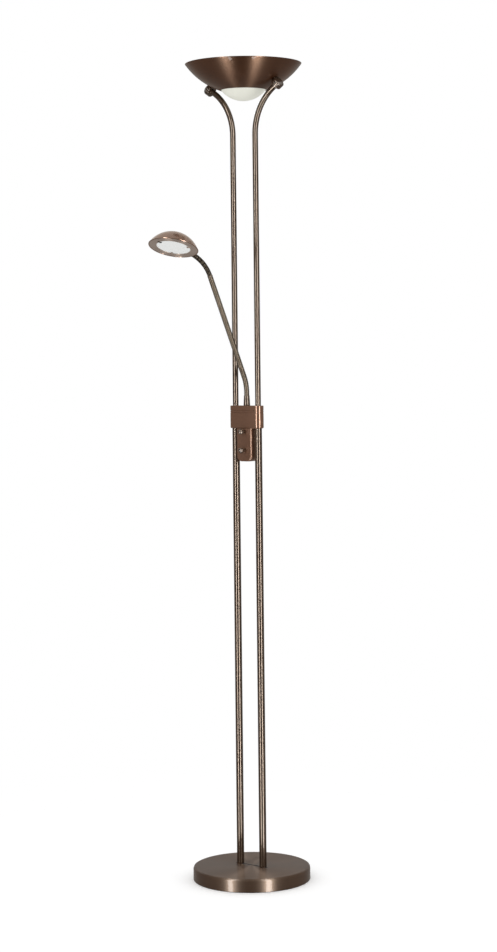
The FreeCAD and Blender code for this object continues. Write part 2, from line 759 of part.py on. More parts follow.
def make_head():
    place = head_place()
    radius = head_diameter / 2
    dome = (radius ** 2 + head_height ** 2) / (2 * head_height)
    centre = head_height - dome
    inner_dome = dome - head_wall
    inner_radius = sqrt(inner_dome ** 2 - centre ** 2)

    def dome_arc(sphere, start, end):
        """An arc of a sphere about the dome's centre, between two radii."""
        angle = (asin(start / sphere) + asin(end / sphere)) / 2
        points = [(r, centre + sqrt(sphere ** 2 - r ** 2)) for r in (start, end)]
        return arc(points[0], (sphere * sin(angle), centre + sphere * cos(angle)), points[1])

    shell = turned(
        outline((inner_radius, 0), (radius, 0))
        + [dome_arc(dome, radius, 0)]
        + outline((0, head_height), (0, head_height - head_wall))
        + [dome_arc(inner_dome, 0, inner_radius)]
    )
    neck_end = at(0, head_neck_reach, head_neck_height)
    neck_hole = ferrule_diameter + 2 * seat_gap
    entry = neck_end + Y_AXIS * neck_relief
    shell = shell.cut(rod(neck_hole, radius, entry - Y_AXIS * radius / 4, Y_AXIS))
    ribs_end = neck_end + Y_AXIS * (1.5 * neck_pitch / neck_ribs - seat_gap)
    shell = shell.cut(rod(neck_diameter + 2 * running_gap, radius, ribs_end, Y_AXIS))

    ring_low = ring_inset
    ring_high = ring_low + ring_thickness
    ring_outer = min(ring_diameter / 2, sqrt(inner_dome ** 2 - (ring_high - centre) ** 2) - seat_gap)
    ring = turned(outline((ring_bore / 2, ring_low), (ring_outer, ring_low), (ring_outer, ring_high),
                          (ring_bore / 2, ring_high), (ring_bore / 2, ring_low)))
    lens_low = ring_high + seat_gap
    lens_high = lens_low + lens_thickness
    lens = rod(lens_diameter, lens_thickness, at(0, 0, lens_low))

    clips = []
    for clip in range(clip_count):
        angle = clip_start + 360 * clip / clip_count
        tab_outer = ring_bore / 2 + clip_width
        tab_length = clip_reach + clip_width
        tab_foot = ring_low - clip_thickness
        tab = block(tab_length, clip_width, clip_thickness, tab_outer - tab_length / 2, 0, tab_foot)
        step_centre = ring_bore / 2 - running_gap - seat_gap - clip_reach / 2
        step = block(clip_reach, clip_width, lens_low - seat_gap - tab_foot, step_centre, 0, tab_foot)
        tab = tab.fuse(step).removeSplitter()
        tab.rotate(at(0, 0, 0), UP, angle)
        clips.append(tab)

    reflector_low = lens_high + seat_gap
    wide = reflector_diameter / 2
    narrow = reflector_top_diameter / 2
    reflector_top = reflector_low + reflector_height
    reflector = turned(outline(
        (wide, reflector_low), (wide, reflector_low + reflector_wall),
        (narrow, reflector_top), (0, reflector_top), (0, reflector_top - reflector_wall),
        (narrow - reflector_wall, reflector_top - reflector_wall),
        (wide - 2 * reflector_wall, reflector_low), (wide, reflector_low),
    ))
    ferrule_end = neck_end - Y_AXIS * ferrule_length
    holder = rod(holder_diameter, holder_length, ferrule_end - Y_AXIS * seat_gap, FRONT)
    bulb_foot = ferrule_end - Y_AXIS * (holder_length + 2 * seat_gap)
    tip = bulb_diameter / 2
    bulb_side = bulb_length - tip
    slope = tip * sin(radians(45))
    bulb = turned(
        outline((0, 0), (tip, 0), (tip, bulb_side))
        + [arc((tip, bulb_side), (slope, bulb_side + slope), (0, bulb_length))]
        + outline((0, bulb_length), (0, 0)),
        FreeCAD.Placement(bulb_foot, FreeCAD.Rotation(UP, FRONT)),
    )
    nut_foot = ferrule_end + Y_AXIS * (head_nut_height / 2)
    nut_bore = ferrule_diameter + 2 * seat_gap
    nut = hexagon(head_nut_across_flats, head_nut_height, nut_foot, Y_AXIS, nut_bore)
    passage = max(holder_diameter, head_nut_across_flats * 2 / sqrt(3)) + 1
    reflector = reflector.cut(rod(passage, radius, ferrule_end - Y_AXIS * holder_length, Y_AXIS))

    for name, solids in (
        ("head_shell", [shell]), ("head_ring", [ring]), ("head_lens", [lens]), ("lens_clips", clips),
        ("head_reflector", [reflector]), ("head_lampholder", [holder]), ("head_bulb", [bulb]),
        ("head_locknut", [nut]),
    ):
        for solid in solids:
            solid.Placement = place.multiply(solid.Placement)
        write(name, *solids)


# ---------------------------------------------------------------- uplighter bowl
def make_saddle(side):
    """A grooved, domed-ended fitting on the stem's end, seated against the bowl."""
    radius = saddle_diameter / 2
    groove = radius - saddle_groove_depth
    edge = saddle_edge_radius
    spigot = upper_stem_diameter / 2 - upper_stem_wall - seat_gap
    hollow = spigot / 2
    points = [(hollow, -saddle_spigot), (spigot, -saddle_spigot), (spigot, 0), (radius, 0)]
    height = 0.0
    for disc in range(2):
        height += saddle_disc_length
        points += [(radius, height), (groove, height), (groove, height + saddle_groove_width),
                   (radius, height + saddle_groove_width)]
        height += saddle_groove_width
    side_end = saddle_length - edge
    points.append((radius, side_end))
    slope = edge * sin(radians(45))
    middle = saddle_length / 2
    profile = outline(*points)
    edge_middle = (radius - edge + slope, side_end + slope)
    profile.append(arc((radius, side_end), edge_middle, (radius - edge, saddle_length)))
    profile += outline((radius - edge, saddle_length), (0, saddle_length), (0, middle), (hollow, middle),
                       (hollow, -saddle_spigot))
    foot = saddle_centre(side) - stem_end_direction(side) * middle
    return turned(profile, FreeCAD.Placement(foot, FreeCAD.Rotation(UP, stem_end_direction(side))))


def strap(points, thickness, width):
    """A flat strap bent along (x, z) points, mitred at the bends, centred on y = 0."""
    upper = []
    lower = []
    for i, (x, z) in enumerate(points):
        before = points[max(i - 1, 0)]
        after = points[min(i + 1, len(points) - 1)]
        turn_in = atan2(z - before[1], x - before[0]) if i > 0 else None
        turn_out = atan2(after[1] - z, after[0] - x) if i < len(points) - 1 else None
        angle_in = turn_out if turn_in is None else turn_in
        angle_out = turn_in if turn_out is None else turn_out
        mean = (angle_in + angle_out) / 2
        reach = thickness / 2 / cos((angle_out - angle_in) / 2)
        upper.append(at(x - reach * sin(mean), -width / 2, z + reach * cos(mean)))
        lower.append(at(x + reach * sin(mean), -width / 2, z - reach * cos(mean)))
    loop = upper + lower[::-1]
    return Part.Face(Part.makePolygon(loop + [loop[0]])).extrude(at(0, width, 0))


def make_bowl():
    def wall_arc(sphere, start, end):
        angle = (asin(start / sphere) + asin(end / sphere)) / 2
        points = [(r, on_circle(sphere, bowl_centre_z, r)) for r in (start, end)]
        return arc(points[0], (sphere * sin(angle), bowl_centre_z - sphere * cos(angle)), points[1])

    outer_low = (opening_radius, on_circle(bowl_sphere_radius, bowl_centre_z, opening_radius))
    inner_low = (opening_radius, opening_z)
    rim_inner = sqrt(bowl_inner_radius ** 2 - (bowl_centre_z - lamp_height) ** 2)
    shell = turned(
        outline(inner_low, outer_low)
        + [wall_arc(bowl_sphere_radius, opening_radius, bowl_radius)]
        + outline((bowl_radius, lamp_height), (rim_inner, lamp_height))
        + [wall_arc(bowl_inner_radius, rim_inner, opening_radius)]
    )

    # The glass dish hangs in the opening by its lip, which lies along the bowl's inside.
    neck_radius = opening_radius - 2 * saddle_seat
    glass_bottom = opening_z - diffuser_depth
    lip_radius = opening_radius + diffuser_lip
    lip_z = on_circle(bowl_inner_radius, bowl_centre_z, lip_radius) + seat_gap
    neck_z = opening_z + 2 * seat_gap
    depth = neck_z - glass_bottom
    glass = (neck_radius ** 2 + depth ** 2) / (2 * depth)
    inner_glass = glass - diffuser_wall
    glass_centre = glass_bottom + glass
    inner_neck_z = neck_z + diffuser_wall
    inner_neck = sqrt(inner_glass ** 2 - (glass_centre - inner_neck_z) ** 2)
    half_angle = asin(neck_radius / glass) / 2
    inner_half = acos((glass_centre - inner_neck_z) / inner_glass) / 2
    diffuser = turned(
        [arc((0, glass_bottom), (glass * sin(half_angle), glass_centre - glass * cos(half_angle)),
             (neck_radius, neck_z))]
        + outline((neck_radius, neck_z), (lip_radius, lip_z), (lip_radius, lip_z + diffuser_wall),
                  (inner_neck, inner_neck_z))
        + [arc((inner_neck, inner_neck_z),
               (inner_glass * sin(inner_half), glass_centre - inner_glass * cos(inner_half)),
               (0, glass_bottom + diffuser_wall))]
        + outline((0, glass_bottom + diffuser_wall), (0, glass_bottom))
    )

    # The bracket's end tabs lie against the bowl and share its two bolts.
    lean = radians(saddle_lean)
    tab_half = bracket_width / 2
    sag = bowl_inner_radius - sqrt(bowl_inner_radius ** 2 - 2 * tab_half ** 2)
    tab_reach = bowl_inner_radius - sag - seat_gap - bracket_thickness / 2
    bracket_z = opening_z + bracket_rise
    tab_x = tab_reach * sin(lean)
    tab_z = bowl_centre_z - tab_reach * cos(lean)
    bend_x = tab_x - (tab_z - bracket_z) / tan(lean)
    end_x = tab_x + tab_half * cos(lean)
    end_z = tab_z + tab_half * sin(lean)
    bracket = strap([(-end_x, end_z), (-bend_x, bracket_z), (bend_x, bracket_z), (end_x, end_z)],
                    bracket_thickness, bracket_width)
    bracket_top = bracket_z + bracket_thickness / 2

    bolts = []
    for side, name in ((-1, "left"), (1, "right")):
        saddle = make_saddle(side)
        centre = saddle_centre(side)
        inwards = at(-side * sin(lean), 0, cos(lean))
        head_foot = at(side * tab_x, 0, tab_z) + inwards * (bracket_thickness / 2)
        shank_length = (head_foot - centre).Length
        hole = rod(bolt_diameter + 2 * seat_gap, shank_length + bolt_head_height, centre, inwards)
        seat = Part.makeSphere(bowl_sphere_radius + seat_gap, at(0, 0, bowl_centre_z))
        saddle = saddle.cut(seat).cut(hole)
        shell = shell.cut(hole)
        bracket = bracket.cut(hole)
        shank = rod(bolt_diameter, shank_length, centre, inwards)
        bolt = shank.fuse(hexagon(bolt_head_across_flats, bolt_head_height, head_foot, inwards))
        bolts.append(bolt.cut(rod(bolt_bore, shank_length + bolt_head_height, centre, inwards)))
        write("bowl_saddle_" + name, saddle)

    lamp_z = bracket_top + lamp_rise
    tube_half = lamp_length / 2 - lamp_cap_length
    tube_foot = at(-tube_half, 0, lamp_z)
    tube = sleeve(lamp_tube_diameter, lamp_tube_diameter - 2, 2 * tube_half, tube_foot, X_AXIS)
    caps = []
    holders = []
    for side in (-1, 1):
        outwards = X_AXIS * side
        caps.append(rod(lamp_cap_diameter, lamp_cap_length, at(side * tube_half, 0, lamp_z), outwards))
        holder_x = side * (lamp_length / 2 + holder_block_length / 2 - lamp_cap_length / 2)
        holder = block(holder_block_length, holder_block_width, holder_block_height,
                       holder_x, 0, bracket_top)
        cap_foot = at(side * tube_half, 0, lamp_z)
        seat = rod(lamp_cap_diameter + 2 * seat_gap, lamp_cap_length, cap_foot, outwards)
        holders.append(holder.cut(seat))

    guard_bottom = bracket_top + holder_block_height + seat_gap
    guard_top = guard_bottom + guard_thickness
    guard = block(guard_length, guard_width, guard_thickness, 0, 0, guard_bottom)
    clips = []
    inside = guard_width + 2 * seat_gap
    outside = inside + 2 * guard_clip_wall
    for x in (-guard_clip_place, guard_clip_place):
        height = guard_top + seat_gap + guard_clip_wall - bracket_top
        frame = block(guard_clip_width, outside, height, x, 0, bracket_top)
        foot = bracket_top + guard_clip_wall
        space = block(guard_clip_width, inside, height - 2 * guard_clip_wall, x, 0, foot)
        mouth = block(guard_clip_width, inside - 2 * guard_clip_hook, height, x, 0, foot)
        clips.append(frame.cut(space).cut(mouth))

    write("bowl_shell", shell)
    write("glass_diffuser", diffuser)
    write("bowl_bolts", *bolts)
    write("lamp_bracket", bracket)
    write("lampholders", *holders)
    write("halogen_tube", tube)
    write("lamp_caps", *caps)
    write("guard_glass", guard)
    write("guard_clips", *clips)


os.makedirs("parts", exist_ok=True)
make_base()
make_stems()
make_housing(*make_junction())
make_arm()
make_head()
make_bowl()
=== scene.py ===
"""A torchiere floor lamp with a reading light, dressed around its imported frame.

A weighted round base carries two stems. They pass a junction housing with two dials, curve
outwards at the top and hold an uplighter bowl. A reading head rides on a bent arm with a
flexible ribbed neck. Every length is in metres, +Z is up and the head faces -Y.
"""

import json
import logging
import math
from dataclasses import dataclass
from enum import Enum
from functools import cache
from typing import Sequence

import bpy
from mathutils import Matrix, Vector


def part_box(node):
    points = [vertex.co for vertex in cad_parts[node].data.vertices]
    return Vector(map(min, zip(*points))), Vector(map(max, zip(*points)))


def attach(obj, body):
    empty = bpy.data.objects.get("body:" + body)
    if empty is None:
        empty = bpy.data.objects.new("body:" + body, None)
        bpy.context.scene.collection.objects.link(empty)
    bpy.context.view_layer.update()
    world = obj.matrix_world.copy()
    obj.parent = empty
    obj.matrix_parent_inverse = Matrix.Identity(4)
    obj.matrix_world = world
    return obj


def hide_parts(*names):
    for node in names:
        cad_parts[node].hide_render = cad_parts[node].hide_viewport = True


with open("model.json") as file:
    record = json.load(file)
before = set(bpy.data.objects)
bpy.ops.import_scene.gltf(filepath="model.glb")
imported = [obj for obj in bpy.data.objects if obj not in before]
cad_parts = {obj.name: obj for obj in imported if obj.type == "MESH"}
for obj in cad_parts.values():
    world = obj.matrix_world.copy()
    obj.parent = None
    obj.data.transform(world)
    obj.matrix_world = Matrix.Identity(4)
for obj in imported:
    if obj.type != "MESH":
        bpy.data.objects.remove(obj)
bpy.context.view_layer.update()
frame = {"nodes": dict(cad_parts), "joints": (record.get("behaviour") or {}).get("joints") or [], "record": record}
LOG = logging.getLogger("lamp")

Point = tuple[float, float]
Colour = tuple[float, float, float]
Loop = list[Vector]
Socket = bpy.types.NodeSocket
MM = 0.001
ROUND_STEPS = 96
ARC_DEGREES = 1.5
ON_AXIS = 1e-7
RIB_POINTS = 8
SIDES = ((-1, "left"), (1, "right"))


# ---------------------------------------------------------------- finishes
class Grain(Enum):
    """The way that the brush went over a metal piece."""

    ROUND = "round"
    NONE = "none"


class NodeTree:
    """The nodes of a material or a world, with short calls to add and join them."""

    def __init__(self, owner: bpy.types.Material | bpy.types.World) -> None:
        """Start an empty node tree.

        Args:
            owner: The material or world.
        """
        owner.use_nodes = True
        self.owner = owner
        self.tree = owner.node_tree
        self.tree.nodes.clear()
        self.output = self.add("OutputWorld" if isinstance(owner, bpy.types.World) else "OutputMaterial")

    def add(self, kind: str, **settings: object) -> bpy.types.Node:
        """Add a node.

        Args:
            kind: The node's type, without the leading "ShaderNode".
            **settings: Properties of the node, or values of its inputs in the form in_Name.

        Returns:
            The new node.
        """
        node = self.tree.nodes.new("ShaderNode" + kind)
        for key, value in settings.items():
            if key.startswith("in_"):
                node.inputs[key[3:].replace("_", " ")].default_value = value
            else:
                setattr(node, key, value)
        return node

    def join(self, out_socket: Socket, in_socket: Socket) -> None:
        """Join two sockets."""
        self.tree.links.new(out_socket, in_socket)

    def ramp(self, source: Socket, stops: Sequence[float], colours: Sequence[Colour]) -> Socket:
        """Turn a value into a colour.

        Args:
            source: The value's socket.
            stops: The positions of the two stops.
            colours: Their colours.

        Returns:
            The colour's socket.
        """
        node = self.add("ValToRGB")
        for element, position, colour in zip(node.color_ramp.elements, stops, colours):
            element.position = position
            element.color = (*colour, 1.0)
        self.join(source, node.inputs["Fac"])
        return node.outputs["Color"]

    def through(self, source: Socket, kind: str, slot: str | int, result: str, **settings: object) -> Socket:
        """Pass a value through a new node.

        Args:
            source: The value's socket.
            kind: The node's type.
            slot: The input that takes the value.
            result: The output that gives the result.
            **settings: What add takes.

        Returns:
            The result's socket.
        """
        node = self.add(kind, **settings)
        self.join(source, node.inputs[slot])
        return node.outputs[result]

    def scaled(self, source: Socket, low: float, high: float) -> Socket:
        """Spread a value of 0 to 1 over the range from low to high."""
        return self.through(source, "MapRange", "Value", "Result", in_To_Min=low, in_To_Max=high)

    def length(self, vector: Socket) -> Socket:
        """A vector's length."""
        return self.through(vector, "VectorMath", 0, "Value", operation="LENGTH")

    def coordinates(self, scale: Sequence[float] = (1.0, 1.0, 1.0)) -> Socket:
        """Object coordinates, with so many pattern units to the metre along each axis."""
        place = self.add("TexCoord").outputs["Object"]
        return self.through(place, "Mapping", "Vector", "Vector", in_Scale=scale)

    def noise(self, vector: Socket, scale: float, detail: float) -> Socket:
        """A noise value over a vector, of a scale and with so many finer layers."""
        return self.through(vector, "TexNoise", "Vector", "Fac", in_Scale=scale, in_Detail=detail)

    def mix(self, share: Socket, first: bpy.types.Node, second: bpy.types.Node) -> None:
        """Show a mix of two shaders.

        Args:
            share: The socket that says how much of the second shows.
            first: The shader at 0.
            second: The shader at 1.
        """
        node = self.add("MixShader")
        self.join(share, node.inputs["Fac"])
        self.join(first.outputs[0], node.inputs[1])
        self.join(second.outputs[0], node.inputs[2])
        self.join(node.outputs[0], self.output.inputs["Surface"])

    def principled(self, colour: Socket, roughness: Socket, relief: Socket, bump: float, depth: float,
                   **values: object) -> bpy.types.Node:
        """Add the material's shader and its bump.

        Args:
            colour: The colour's socket.
            roughness: The roughness's socket.
            relief: The socket of the height that the bump comes from.
            bump: The bump's strength.
            depth: The relief's depth.
            **values: Values of the shader's other inputs, in the form in_Name.

        Returns:
            The shader.
        """
        shader = self.add("BsdfPrincipled", **values)
        normal = self.through(relief, "Bump", "Height", "Normal", in_Strength=bump, in_Distance=depth)
        for source, slot in ((colour, "Base Color"), (roughness, "Roughness"), (normal, "Normal")):
            self.join(source, shader.inputs[slot])
        self.join(shader.outputs["BSDF"], self.output.inputs["Surface"])
        return shader


@dataclass(frozen=True)
class BrushedBronze:
    """Steel brushed, plated an antique bronze and lacquered."""

    name: str
    dark: Colour = (0.056, 0.017, 0.005)
    light: Colour = (0.096, 0.034, 0.013)
    edge: Colour = (0.74, 0.64, 0.50)
    metallic: float = 0.40
    ior: float = 1.80
    roughness: float = 0.38
    roughness_spread: float = 0.04
    anisotropy: float = 0.90
    coat: float = 0.15
    coat_roughness: float = 0.05
    grain: Grain = Grain.ROUND
    grain_scale: float = 1500.0
    even_share: float = 0.4
    drift: float = 0.03
    cloud_scale: float = 14.0
    cloud_stretch: float = 0.6
    brush_turn: float = 0.25
    stops: tuple[float, float] = (0.30, 0.70)
    bump: float = 0.03
    bump_depth: float = 0.2 * MM

    def lines(self, tree: NodeTree) -> Socket:
        """The brush lines as a value.

        Args:
            tree: The material's nodes.

        Returns:
            The value's socket: rings about the upright axis, or an even grain.
        """
        if self.grain is Grain.NONE:
            return tree.noise(tree.coordinates(), self.grain_scale * self.even_share, 4.0)
        radius = tree.length(tree.coordinates((1.0, 1.0, 0.0)))
        apart = tree.add("SeparateXYZ")
        tree.join(tree.coordinates((self.drift, self.drift, 1.0)), apart.inputs["Vector"])
        ring = tree.add("CombineXYZ")
        for source, axis in ((radius, "X"), (apart.outputs["X"], "Y"), (apart.outputs["Z"], "Z")):
            tree.join(source, ring.inputs[axis])
        return tree.noise(ring.outputs["Vector"], self.grain_scale, 5.0)

    def build(self) -> bpy.types.Material:
        """Make the material.

        Returns:
            The bronze, with fine brush lines, faint cloudy toning and a thin lacquer.
        """
        tree = NodeTree(bpy.data.materials.new(self.name))
        lines = self.lines(tree)
        mixed = tree.add("Mix", data_type="FLOAT")
        mixed.inputs[0].default_value = 0.5
        tree.join(lines, mixed.inputs[2])
        clouds = tree.noise(tree.coordinates((1.0, 1.0, self.cloud_stretch)), self.cloud_scale, 4.0)
        tree.join(clouds, mixed.inputs[3])
        colour = tree.ramp(mixed.outputs[0], self.stops, (self.dark, self.light))
        spread = self.roughness * self.roughness_spread
        roughness = tree.scaled(lines, self.roughness - spread, self.roughness + spread)
        shader = tree.principled(
            colour, roughness, lines, self.bump, self.bump_depth, in_Metallic=self.metallic, in_IOR=self.ior,
            in_Specular_Tint=(*self.edge, 1.0), in_Anisotropic_Rotation=self.brush_turn,
            in_Anisotropic=0.0 if self.grain is Grain.NONE else self.anisotropy,
            in_Coat_Weight=self.coat, in_Coat_Roughness=self.coat_roughness)
        tangent = tree.add("Tangent", direction_type="RADIAL", axis="Z")
        tree.join(tangent.outputs["Tangent"], shader.inputs["Tangent"])
        return tree.owner


@dataclass(frozen=True)
class Plain:
    """A finish of one colour with a fine mottle, in metal, plastic, rubber or ceramic."""

    name: str
    dark: Colour
    light: Colour
    roughness: float
    metallic: float = 0.0
    transmission: float = 0.0
    roughness_spread: float = 0.06
    mottle_scale: float = 300.0
    mottle_detail: float = 4.0
    stops: tuple[float, float] = (0.35, 0.65)
    bump: float = 0.08
    bump_depth: float = 0.5 * MM

    def build(self) -> bpy.types.Material:
        """Make the material.

        Returns:
            The finish, with its colour, roughness and bump from the same mottle.
        """
        tree = NodeTree(bpy.data.materials.new(self.name))
        mottle = tree.noise(tree.coordinates(), self.mottle_scale, self.mottle_detail)
        colour = tree.ramp(mottle, self.stops, (self.dark, self.light))
        roughness = tree.scaled(mottle, max(self.roughness - self.roughness_spread, 0.0),
                                self.roughness + self.roughness_spread)
        tree.principled(colour, roughness, mottle, self.bump, self.bump_depth, in_IOR=1.5,
                        in_Metallic=self.metallic, in_Transmission_Weight=self.transmission)
        return tree.owner


@dataclass(frozen=True)
class Glass(Plain):
    """Clear or frosted glass, with a finer and fainter mottle."""

    roughness_spread: float = 0.04
    mottle_scale: float = 700.0
    mottle_detail: float = 3.0
    stops: tuple[float, float] = (0.2, 0.8)
    bump: float = 0.05
    bump_depth: float = 0.2 * MM


SILVERY_EDGE = (0.78, 0.73, 0.63)
FINISHES = {finish.name: finish for finish in (
    BrushedBronze("brushed_bronze"),
    BrushedBronze("base_bronze", (0.054, 0.025, 0.012), (0.094, 0.047, 0.024), SILVERY_EDGE,
                  metallic=0.32, roughness=0.45, coat=0.20, coat_roughness=0.03),
    # Lightened bronze for the collar, cap and housing: painted sheen standing in for the brighter reflection on
    # their fronts.
    BrushedBronze("satin_bronze", (0.135, 0.060, 0.032), (0.225, 0.112, 0.068), SILVERY_EDGE,
                  roughness=0.34, bump=0.003),
    BrushedBronze("stem_bronze", (0.052, 0.030, 0.018), (0.086, 0.054, 0.036), SILVERY_EDGE,
                  metallic=0.45, roughness=0.20, anisotropy=0.3, bump=0.001),
    BrushedBronze("polished_bronze", (0.055, 0.030, 0.017), (0.090, 0.055, 0.036), (0.78, 0.72, 0.62),
                  metallic=0.45, roughness=0.24, coat=0.6, bump=0.002, grain=Grain.NONE),
    # Lighter bronze for the head's dome: painted reflection of the bright surround on the head.
    BrushedBronze("coppery_bronze", (0.17, 0.098, 0.068), (0.27, 0.165, 0.120),
                  metallic=0.55, roughness=0.20, coat=0.3),
    BrushedBronze("arm_bronze", (0.050, 0.034, 0.021), (0.085, 0.062, 0.042),
                  metallic=0.5, roughness=0.24, grain=Grain.NONE),
    # Pale, greyer bronze for the face ring and two lens clips: painted reflection of the bright surround.
    BrushedBronze("ring_bronze", (0.27, 0.215, 0.180), (0.34, 0.27, 0.23),
                  metallic=0.3, ior=1.5, roughness=0.42, coat=0.0),
    BrushedBronze("dark_bronze", (0.012, 0.008, 0.005), (0.030, 0.021, 0.014),
                  metallic=0.3, ior=1.5, roughness=0.38, coat=0.0, grain=Grain.NONE),
    Plain("zinc_steel", (0.50, 0.50, 0.48), (0.66, 0.66, 0.64), 0.34, metallic=1.0),
    Plain("cast_iron", (0.035, 0.034, 0.034), (0.07, 0.068, 0.066), 0.62, metallic=0.6, bump=0.5),
    Plain("pad_foam", (0.020, 0.020, 0.020), (0.045, 0.045, 0.045), 0.92, mottle_scale=900.0, bump=0.6),
    Plain("black_rubber", (0.014, 0.012, 0.011), (0.028, 0.025, 0.022), 0.62),
    # Near-black finish for the thin dark line drawn between the stems.
    Plain("black_felt", (0.004, 0.003, 0.003), (0.009, 0.007, 0.006), 0.95),
    Plain("circuit_board", (0.03, 0.12, 0.05), (0.05, 0.17, 0.07), 0.45),
    Plain("pale_plastic", (0.72, 0.70, 0.63), (0.80, 0.78, 0.72), 0.42),
    Plain("blackened_steel", (0.030, 0.024, 0.018), (0.060, 0.048, 0.036), 0.40, metallic=0.9),
    Plain("bright_aluminium", (0.80, 0.80, 0.80), (0.88, 0.88, 0.88), 0.22, metallic=1.0),
    Plain("ceramic", (0.78, 0.75, 0.68), (0.85, 0.83, 0.77), 0.55),
    Plain("white_enamel", (0.80, 0.79, 0.75), (0.86, 0.85, 0.81), 0.38, bump=0.03),
    Glass("frosted_glass", (0.86, 0.86, 0.76), (0.90, 0.90, 0.80), 0.42),
    Glass("lens_glass", (0.87, 0.88, 0.86), (0.90, 0.91, 0.90), 0.40),
    Glass("clear_glass", (0.95, 0.97, 0.97), (0.97, 0.98, 0.98), 0.02, transmission=1.0, bump=0.0),
)}


@cache
def paint(name: str) -> bpy.types.Material:
    """The material of a finish, by its name in FINISHES; it is built once, when first asked for."""
    return FINISHES[name].build()


# ---------------------------------------------------------------- shapes
def link_object(name: str, data: bpy.types.ID) -> bpy.types.Object:
    """Make an object of a mesh, lamp or camera and put it in the scene."""
    item = bpy.data.objects.new(name, data)
    bpy.context.scene.collection.objects.link(item)
    return item


@dataclass(frozen=True)
class Piece:
    """What a piece is called, the CAD node that it replaces, its finish, body and material slot; the slot is not
    used.
    """

    name: str
    node: str
    finish: str
    body: str = "stand"
    slot: str = "brushed_bronze"
    sharp: float = 35.0

    def make(self, verts: Sequence[Vector], faces: Sequence[Sequence[int]]) -> bpy.types.Object:
        """Make the piece's object.

        Args:
            verts: Its points.
            faces: Its faces; edges that turn more than the piece's sharp angle stay sharp.

        Returns:
            The object.
        """
        mesh = bpy.data.meshes.new(self.name)
        mesh.from_pydata([tuple(vert) for vert in verts], [], faces)
        mesh.validate()
        mesh.polygons.foreach_set("use_smooth", [True] * len(mesh.polygons))
        mesh.set_sharp_from_angle(angle=math.radians(self.sharp))
        mesh.materials.append(paint(self.finish))
        piece = link_object(self.name, mesh)
        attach(piece, self.body)
        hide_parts(self.node)
        LOG.info("%s: %d faces on %s", self.name, len(mesh.polygons), self.body)
        return piece


def softened(corners: Sequence[Sequence[float]], radii: Sequence[float], steps: int = 6) -> list[Point]:
    """Round the corners of an open line.

    Args:
        corners: The line's points, in two or three dimensions.
        radii: The rounding at each point; 0 leaves it sharp, and so are both ends.
        steps: How many pieces each rounding is drawn in.

    Returns:
        The line with each corner replaced by its arc.
    """
    points: list[Point] = []
    for index, (corner, radius) in enumerate(zip(corners, radii)):
        if radius <= 0 or index in (0, len(corners) - 1):
            points.append(tuple(corner))
            continue
        here = Vector(corner)
        back = (Vector(corners[index - 1]) - here).normalized()
        ahead = (Vector(corners[index + 1]) - here).normalized()
        angle = back.angle(ahead)
        reach = radius / math.tan(angle / 2)
        centre = here + (back + ahead).normalized() * (radius / math.sin(angle / 2))
        start = here + back * reach - centre
        end = here + ahead * reach - centre
        sweep = start.angle(end)
        for step in range(steps + 1):
            share = step / steps
            mix = (start * math.sin((1 - share) * sweep) + end * math.sin(share * sweep)) / math.sin(sweep)
            points.append(tuple(centre + mix))
    return points


def bent_path(start: Vector, corner: Vector, end: Vector, radius: float) -> list[Vector]:
    """A centre line from start to end, with an arc of the radius in place of the corner."""
    steps = int(math.degrees((corner - start).angle(end - corner)) / ARC_DEGREES)
    return [Vector(point) for point in softened((start, corner, end), (0, radius, 0), steps)]


def circle_arc(radius: float, centre_height: float, start: float, end: float, steps: int) -> list[Point]:
    """Points of a circle centred on the axis, between two angles in radians from straight up."""
    angles = [start + (end - start) * step / steps for step in range(steps + 1)]
    return [(radius * math.sin(angle), centre_height + radius * math.cos(angle)) for angle in angles]


def stadium_loop(half_spacing: float, radius: float, steps: int = ROUND_STEPS) -> list[Point]:
    """A stadium's outline, or a circle where half_spacing is 0.

    Args:
        half_spacing: Half the distance between the two end circles' centres.
        radius: The end circles' radius.
        steps: How many points there are all round.

    Returns:
        The points, anticlockwise.
    """
    loop: list[Point] = []
    half = steps // 2
    for side, first in ((1, 0), (-1, math.pi)):
        for step in range(half if half_spacing == 0 else half + 1):
            angle = math.pi * (step / half - 0.5) + first
            loop.append((side * half_spacing + radius * math.cos(angle), radius * math.sin(angle)))
    return loop


def skin(loops: Sequence[Loop], ring: bool = False) -> tuple[list[Vector], list[list[int]]]:
    """Join loops of points into a skin.

    Args:
        loops: The loops, in order; a loop of one point closes the skin in a fan.
        ring: Whether the last loop joins the first; if not, the first and last loops are filled.

    Returns:
        The skin's points and faces.
    """
    verts: list[Vector] = []
    rows: list[list[int]] = []
    for loop in loops:
        rows.append(list(range(len(verts), len(verts) + len(loop))))
        verts.extend(loop)
    faces: list[list[int]] = []
    for low, high in zip(rows, rows[1:] + rows[:1] if ring else rows[1:]):
        count = max(len(low), len(high))
        for i in range(count):
            j = (i + 1) % count
            if len(low) == 1:
                faces.append([low[0], high[j], high[i]])
            elif len(high) == 1:
                faces.append([low[i], low[j], high[0]])
            else:
                faces.append([low[i], low[j], high[j], high[i]])
    if not ring:
        faces += [end for end in (rows[0][::-1], rows[-1]) if len(end) > 2]
    return verts, faces


def turned(piece: Piece, profile: Sequence[Point], place: Matrix = Matrix(), half_spacing: float = 0.0,
           ring: bool = False, steps: int = ROUND_STEPS) -> bpy.types.Object:
    """Turn a profile about an axis, or draw it round a stadium.

    Args:
        piece: What the piece is.
        profile: (distance from the axis, height) points, from the foot up the outside.
        place: Where the axis stands: its +Z is the axis.
        half_spacing: Half the distance between the ends of a stadium.
        ring: Whether the profile is closed and the piece has a hole along its axis.
        steps: How many points there are all round.

    Returns:
        The object.
    """
    rows: list[Loop] = []
    for radius, height in profile:
        on_axis = radius <= ON_AXIS and half_spacing == 0
        loop = [(0.0, 0.0)] if on_axis else stadium_loop(half_spacing, radius, steps)
        rows.append([place @ Vector((x, y, height)) for x, y in loop])
    return piece.make(*skin(rows, ring))


